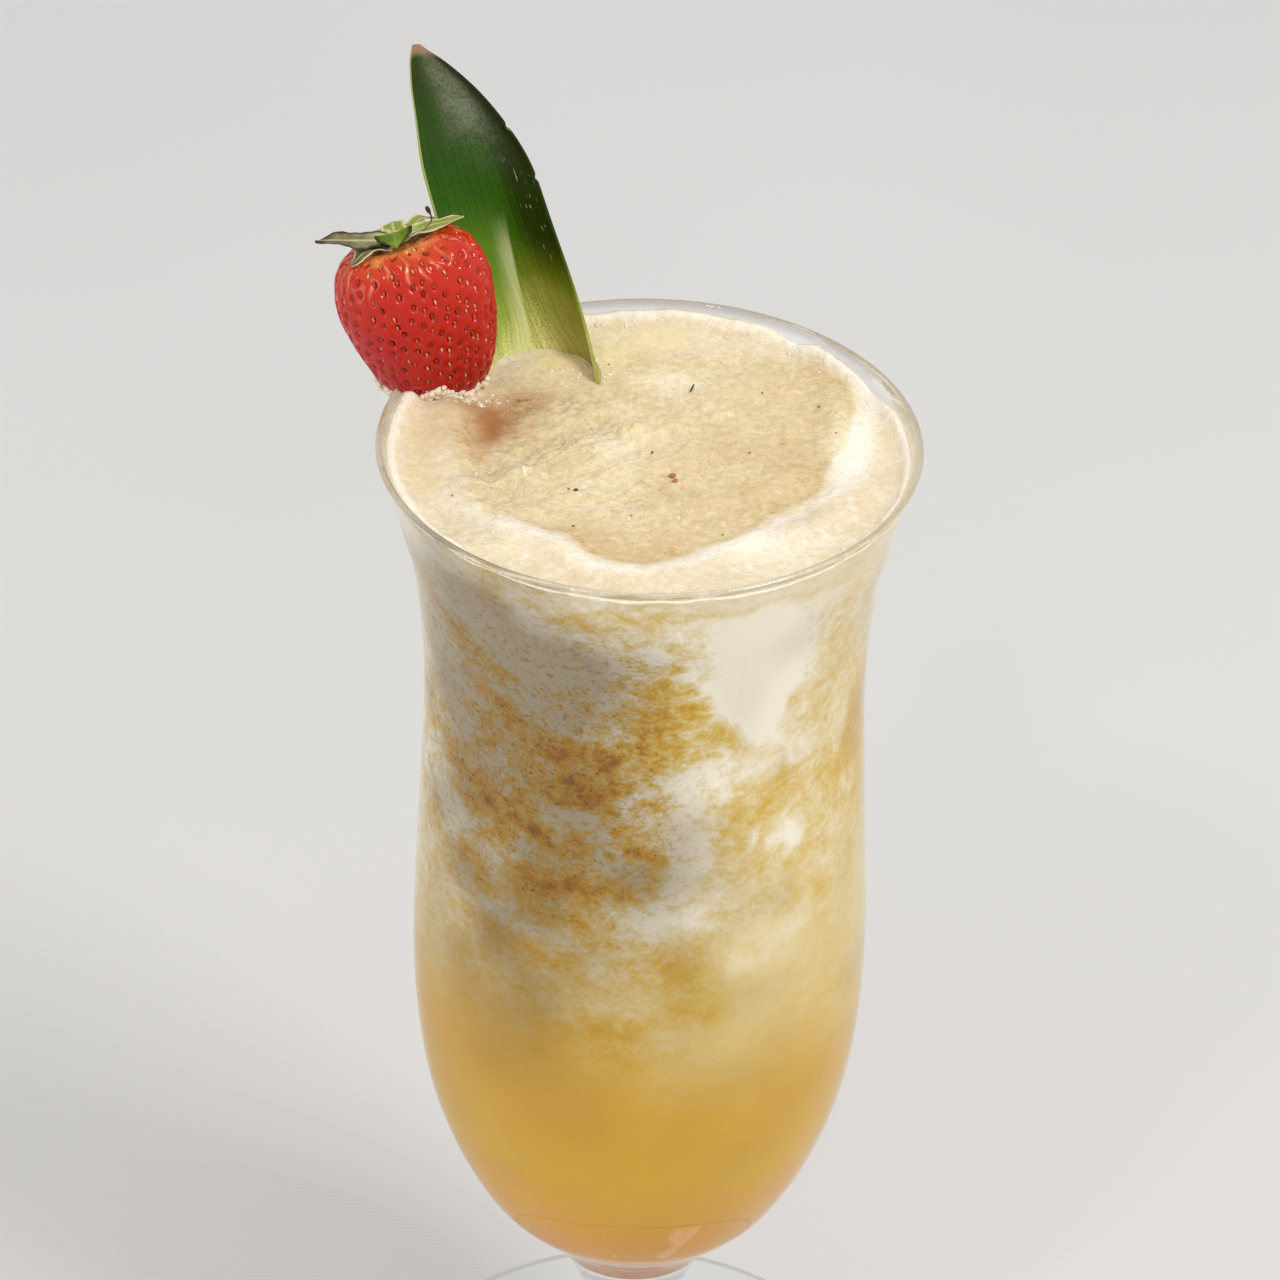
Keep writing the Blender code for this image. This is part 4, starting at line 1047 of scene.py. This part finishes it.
def drying_leaf():
    """Green with pale veins and edges, going over to grey brown where the sepal has dried."""
    made, tree, shader = new_finish("drying_leaf")
    where = place(tree)
    along, edge, dryness = read(tree, "along"), read(tree, "edge"), read(tree, "dryness")
    mottle = noise(tree, where, 1.4, 4.0)
    dry = plus(tree, dryness, round_zero(tree, mottle, 0.5), stretch(tree, along, 0.6, 1.0, 0.0, 0.2))
    rim = stretch(tree, plus(tree, edge, round_zero(tree, mottle, 0.3)), 0.66, 0.9)
    green = shades(
        tree, dry, (0.0, 84, 110, 6), (0.35, 138, 150, 48), (0.6, 146, 140, 78), (0.85, 104, 92, 62),
        (1.0, 66, 54, 38))
    margin = read(tree, "margin")
    # The foot, the middle rib, the pale margin and the dark margin, each over the last
    for factors, *chip in [
        ([stretch(tree, along, 0.4, 0.08), stretch(tree, dryness, 0.0, 0.3, 0.15, 0.6)], 212, 210, 146),
        ([stretch(tree, edge, 0.2, 0.02), stretch(tree, dryness, 0.0, 0.3, 0.1, 0.55)], 216, 214, 160),
        ([rim, stretch(tree, margin, 0.0, 0.8), 0.8], 222, 218, 172),
        ([rim, stretch(tree, margin, 0.0, -0.8), 0.92], 44, 34, 24),
    ]:
        green = over(tree, green, times(tree, *factors), *chip)
    fill(tree, shader, {
        "Base Color": green, "Roughness": stretch(tree, mottle, 0.3, 0.7, 0.42, 0.65),
        "Specular IOR Level": 0.25, "Subsurface Weight": 0.1, "Subsurface Scale": 0.0006,
    })
    bumped(tree, shader, noise(tree, where, 0.5), 0.06)
    return made


# The button, then each sepal after it: its points, its faces counted on, and its four fields a point
cap_points, cap_faces, cap_fields = [], [], []
button_points, button_faces = ring_net(ball(10, 24), [0, 0, 1], [0, 0, -1])
button_points = button_points * np.array([2.4, 2.1, 0.7]) + np.array([0, 0, 0.45])
button_points = button_points @ berry_axes.T + BERRY_TOP
cap_points.append(button_points)
cap_faces += button_faces
cap_fields.append(np.tile([0.5, 0.5, 0.2, 0.0], (len(button_points), 1)))
first = len(button_points)
for number, (*form, shade, margin) in enumerate(SEPALS):
    above, below, along, edge = sepal_sheets(*form, 1.7 * number)
    leaf_points, leaf_faces = two_faced(above, below)
    cap_points.append(leaf_points)
    cap_faces += [[corner + first for corner in face] for face in leaf_faces]
    field = np.column_stack([
        along.ravel(), edge.ravel(), np.full(along.size, shade), np.full(along.size, margin)])
    cap_fields.append(np.vstack([field, field]))
    first += len(leaf_points)
cap_fields = np.vstack(cap_fields)
calyx = add_piece(
    "berry_calyx", np.vstack(cap_points), cap_faces, drying_leaf(), "calyx_green",
    along=cap_fields[:, 0], edge=cap_fields[:, 1], dryness=cap_fields[:, 2], margin=cap_fields[:, 3],
)
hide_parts("calyx")

# Stamen: one dried thread of the flower, left standing on the calyx, with its dark head.

STAMEN = [(-36.3, 22.4, 213.2), (-34.6, 22.0, 215.4), (-33.4, 21.6, 217.6), (-34.1, 21.0, 220.0)]


def dry_thread():
    """Pale green brown at the foot, going over to a near black head."""
    made, tree, shader = new_finish("dry_thread")
    where = place(tree)
    way = plus(tree, read(tree, "along"), round_zero(tree, noise(tree, where, 0.5), 0.2))
    fill(tree, shader, {
        "Base Color": shades(tree, way, (0.3, 140, 130, 96), (0.7, 96, 72, 62), (0.9, 44, 30, 32)),
        "Roughness": 0.6,
    })
    bumped(tree, shader, noise(tree, where, 0.2), 0.03)
    return made


THREAD_SIDES = 12
thread = curve_through(STAMEN, 12)
thread_share = np.linspace(0, 1, len(thread))
thread_way = unit(np.gradient(thread, axis=0))
thread_side = unit(np.cross(thread_way, [0, 1, 0]))
thread_up = np.cross(thread_side, thread_way)
head = np.clip((thread_share - 0.8) / 0.12, 0, 1) * np.sqrt(np.clip((1.03 - thread_share) / 0.1, 0, 1))
thread_size = 0.13 + 0.24 * head
around = even_turns(THREAD_SIDES)
thread_rings = thread[:, None] + thread_size[:, None, None] * (
    np.cos(around)[None, :, None] * thread_side[:, None] + np.sin(around)[None, :, None] * thread_up[:, None])
thread_points, thread_faces = ring_net(thread_rings, thread[:1], thread[-1:] + 0.05 * thread_way[-1:])
add_piece(
    "calyx_stamen", thread_points, thread_faces, dry_thread(), "calyx_green",
    along=np.append(np.repeat(thread_share, THREAD_SIDES), [0, 1]),
)

# Pineapple leaf: one leaf from the fruit's crown, a stiff waxy channel open to the front, stood in the
# froth behind the berry. It is pale at the base, dark green above with a grey bloom, and dry at the tip.

LEAF_FOOT = np.array([-12.8, 30.4, 181.0])
LEAF_TIP = np.array([-36.6, 44.0, 234.8])
LEAF_THICKNESS = 1.1


def leaf_sheets():
    """The leaf's two faces: at height share t an arc of half width w(t) bent by b(t) round the spine, with a
    slight wave u^3 at its edges, thinner to the edges and the tip."""
    t, u = np.linspace(0, 1, 150), np.linspace(-1, 1, 61)
    spine = LEAF_FOOT + (LEAF_TIP - LEAF_FOOT) * t[:, None]
    spine[:, 0] += 2.4 * np.sin(math.pi * t**2.8)
    spine[:, 1] += (LEAF_TIP[1] - LEAF_FOOT[1]) * (t**1.3 - t)
    widths = curve_through([
        (0, 8.0), (0.17, 8.5), (0.4, 8.9), (0.58, 8.7), (0.72, 8.1), (0.86, 5.8), (0.95, 3.0), (1, 0.5)], 8)
    bends = curve_through([(0, 104), (0.15, 102), (0.28, 52), (0.5, 36), (1.0, 30)], 8)
    half = np.interp(t, widths[:, 0], widths[:, 1])
    bend = np.radians(np.interp(t, bends[:, 0], bends[:, 1]))
    radius = half / np.sin(np.minimum(bend, math.pi / 2))
    turn = u[None, :] * bend[:, None]
    wave = 0.25 * np.sin(21 * t)[:, None] * u[None, :] ** 3
    nick = 0.45 * bell(t - 0.80, 0.006) + 0.4 * bell(t - 0.66, 0.006)
    x = spine[:, 0, None] + radius[:, None] * np.sin(turn) - nick[:, None] * np.clip(u * 5 - 4, 0, 1)
    y = spine[:, 1, None] - radius[:, None] * (1 - np.cos(turn)) + wave
    sheet = np.stack([x, y, spine[:, 2, None] + 0 * turn], axis=-1)
    out = unit(np.cross(np.gradient(sheet, axis=1), np.gradient(sheet, axis=0)))
    thick = LEAF_THICKNESS * (1 - 0.45 * u[None, :] ** 2) * (1 - 0.5 * t[:, None])
    shift = out * thick[..., None] / 2
    return sheet + shift, sheet - shift, *np.broadcast_arrays(t[:, None], u[None, :])


def lengthwise(tree, along, across, fine_across, fine_along, detail):
    """Noise drawn out along the leaf: that many lumps across half its width and up its length."""
    lines = node(tree, "CombineXYZ", {0: times(tree, across, fine_across), 1: times(tree, along, fine_along)})
    return node(tree, "TexNoise", {"Vector": lines.outputs[0], "Scale": 1.0, "Detail": detail}).outputs[0]


def waxy_leaf():
    """Fine lengthwise veins on dark green, pale green at the base, olive and then near black to the right as
    painted shade on the channel's right half, a painted highlight stripe low on the left, fresh green at its
    soft left side and pale at its sharp right edge, a grey bloom of scales to the upper right, pale and dark
    edges, scuffs, and a dry brown tip, each painted over the last."""
    made, tree, shader = new_finish("waxy_leaf")
    where = place(tree)
    along, across = read(tree, "along"), read(tree, "across")
    vein = lengthwise(tree, along, across, 26.0, 2.4, 3.0)
    scuffs = lengthwise(tree, along, across, 34.0, 22.0, 2.0)
    scales = noise(tree, where, 0.45, 4.0, 0.75)
    blotch = noise(tree, where, 7.0, 3.0)
    aside = joined(tree, "SUBTRACT", across, times(tree, along, 0.85))

    def up(*step):
        """A step along the leaf, from its foot at 0 to its tip at 1."""
        return stretch(tree, along, *step)

    def side(*step):
        """A step across the leaf, from its left edge at -1 to its right edge at 1."""
        return stretch(tree, across, *step)

    flakes = stretch(tree, plus(tree, scales, times(tree, blotch, 0.9)), 0.6, 1.3)
    green = shades(
        tree, plus(tree, along, round_zero(tree, blotch, 0.12)), (0.14, 236, 232, 150),
        (0.24, 208, 210, 108), (0.36, 108, 138, 20), (0.5, 54, 102, 0), (0.68, 42, 82, 0), (0.9, 48, 62, 16))
    for factors, *chip in [
        ([stretch(tree, vein, 0.35, 0.75, 0.0, 0.45)], 24, 48, 4),
        ([stretch(tree, noise(tree, where, 0.28, 2.0), 0.42, 0.68, 0.0, 0.35)], 20, 40, 4),
        # Painted shade: olive and then near black over the channel's right half
        ([side(-0.1, 0.5), up(0.55, 0.25), 0.6], 126, 122, 34),
        ([side(0.1, 0.6), up(0.3, 0.5), 0.72], 26, 32, 2),
        # Painted highlight: a stripe low on the left, fresh green at its soft left side and pale at its sharp
        # right edge
        ([stretch(tree, aside, -0.35, -0.6), up(0.6, 0.36), up(0.12, 0.3), 0.55], 120, 164, 40),
        ([stretch(tree, aside, -0.62, -0.34), stretch(tree, aside, -0.26, -0.31), up(0.56, 0.4),
          stretch(tree, vein, 0.2, 0.6, 0.75, 0.5)], 226, 234, 170),
        ([side(-0.75, 0.1), side(0.9, 0.35), up(0.62, 0.85), flakes, 0.8], 136, 141, 116),
        ([side(-0.965, -0.99), 0.6], 196, 206, 120),
        ([side(0.86, 0.96), up(0.62, 0.8), 0.75], 34, 30, 12),
        ([side(0.35, 0.6), side(1.0, 0.9), up(0.35, 0.45), up(0.8, 0.66),
          stretch(tree, scuffs, 0.66, 0.72, 0.0, 0.8)], 206, 208, 176),
        ([up(0.965, 0.99)], 162, 128, 100),
    ]:
        green = over(tree, green, times(tree, *factors), *chip)
    fill(tree, shader, {
        "Base Color": green, "Roughness": stretch(tree, scales, 0.3, 0.7, 0.3, 0.46),
        "Specular IOR Level": 0.12, "Coat Weight": 0.1, "Coat Roughness": 0.15,
        "Subsurface Weight": 0.06, "Subsurface Scale": 0.001,
    })
    bumped(tree, shader, plus(tree, vein, times(tree, scales, 0.35)), 0.1)
    return made


leaf_front, leaf_back, leaf_along, leaf_across = leaf_sheets()
leaf_points, leaf_faces = two_faced(leaf_front, leaf_back)
leaf = add_piece(
    "crown_leaf", leaf_points, leaf_faces, waxy_leaf(), "leaf_green",
    along=np.tile(leaf_along.ravel(), 2), across=np.tile(leaf_across.ravel(), 2),
)
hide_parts("pineapple_leaf")

# Table, light and camera: a plain pale table top just under the foot; a sky that is a little brighter to
# the right and back; a window high on the right, a weak reflector low on the left and a small far pane
# for glints; and a camera in front, looking down at 35 degrees.

TABLE_HALF, TABLE_DROP = 6.0, 0.0003
corners = [(-1, -1), (1, -1), (1, 1), (-1, 1)]
table = bpy.data.meshes.new("table_top")
table.from_pydata([(TABLE_HALF * x, TABLE_HALF * y, -TABLE_DROP) for x, y in corners], [], [(0, 1, 2, 3)])
table_finish, table_tree, table_shader = new_finish("pale_stone")
table_tree.links.new(ramp(table_tree, noise(table_tree, place(table_tree), 260.0, 2.0), [
    (0.3, (0.655, 0.64, 0.62, 1)), (0.7, (0.69, 0.675, 0.655, 1))]), table_shader.inputs["Base Color"])
table_shader.inputs["Roughness"].default_value = 0.55
table.materials.append(table_finish)
floor = bpy.data.objects.new("table_top", table)
bpy.context.scene.collection.objects.link(floor)

sky = bpy.data.worlds.new("soft_sky")
sky.use_nodes = True
sky_tree = sky.node_tree
sky_way = node(sky_tree, "TexCoord", {}).outputs["Generated"]
sky_side = node(sky_tree, "VectorMath", {0: sky_way, 1: (0.75, 0.5, 0.2)}, operation="DOT_PRODUCT")
fill(sky_tree, sky_tree.nodes["Background"], {
    "Strength": stretch(sky_tree, sky_side.outputs["Value"], -0.8, 0.8, 0.72, 0.82),
    "Color": (0.98, 0.985, 1.0, 1.0),
})
bpy.context.scene.world = sky


def soft_light(name, where, width, power, colour):
    """A square light of that width in m at a place, turned to face the middle of the drink."""
    light = bpy.data.lights.new(name, "AREA")
    light.size, light.energy, light.color = width, power, colour
    lamp = bpy.data.objects.new(name, light)
    lamp.location = where
    x, y, z = np.array([0, 0, 0.14]) - np.array(where)
    lamp.rotation_euler = (math.atan2(math.hypot(x, y), -z), 0, math.atan2(y, x) - math.pi / 2)
    bpy.context.scene.collection.objects.link(lamp)


soft_light("window", (0.72, -0.45, 1.13), 0.42, 8.0, (1.0, 0.985, 0.96))
soft_light("reflector", (-0.95, -0.45, 0.3), 0.6, 2.3, (1.0, 0.99, 0.97))
soft_light("far_pane", (-0.38, -0.62, 1.05), 0.1, 1.1, (1.0, 0.99, 0.98))

LENS_MM, SENSOR_MM = 182.8, 36.0
CAMERA_AT = (-0.00084, -0.81486, 0.72105)
LOOKS_DOWN, LEANS_OVER = 34.71, 1.20
pitch, roll = math.radians(LOOKS_DOWN), math.radians(LEANS_OVER)
ahead = np.array([0, math.cos(pitch), -math.sin(pitch)])
right, above = np.array([1.0, 0, 0]), np.array([0, math.sin(pitch), math.cos(pitch)])
turned_right = math.cos(roll) * right + math.sin(roll) * above
turned_up = -math.sin(roll) * right + math.cos(roll) * above
lens = bpy.data.cameras.new("camera")
lens.lens, lens.sensor_width, lens.clip_start, lens.clip_end = LENS_MM, SENSOR_MM, 0.05, 30.0
camera = bpy.data.objects.new("camera", lens)
stand = np.eye(4)
stand[:3, 0], stand[:3, 1], stand[:3, 2] = turned_right, turned_up, -ahead
stand[:3, 3] = CAMERA_AT
camera.matrix_world = Matrix(stand.tolist())
bpy.context.scene.collection.objects.link(camera)
bpy.context.scene.camera = camera
bpy.context.scene.view_settings.view_transform = "Standard"
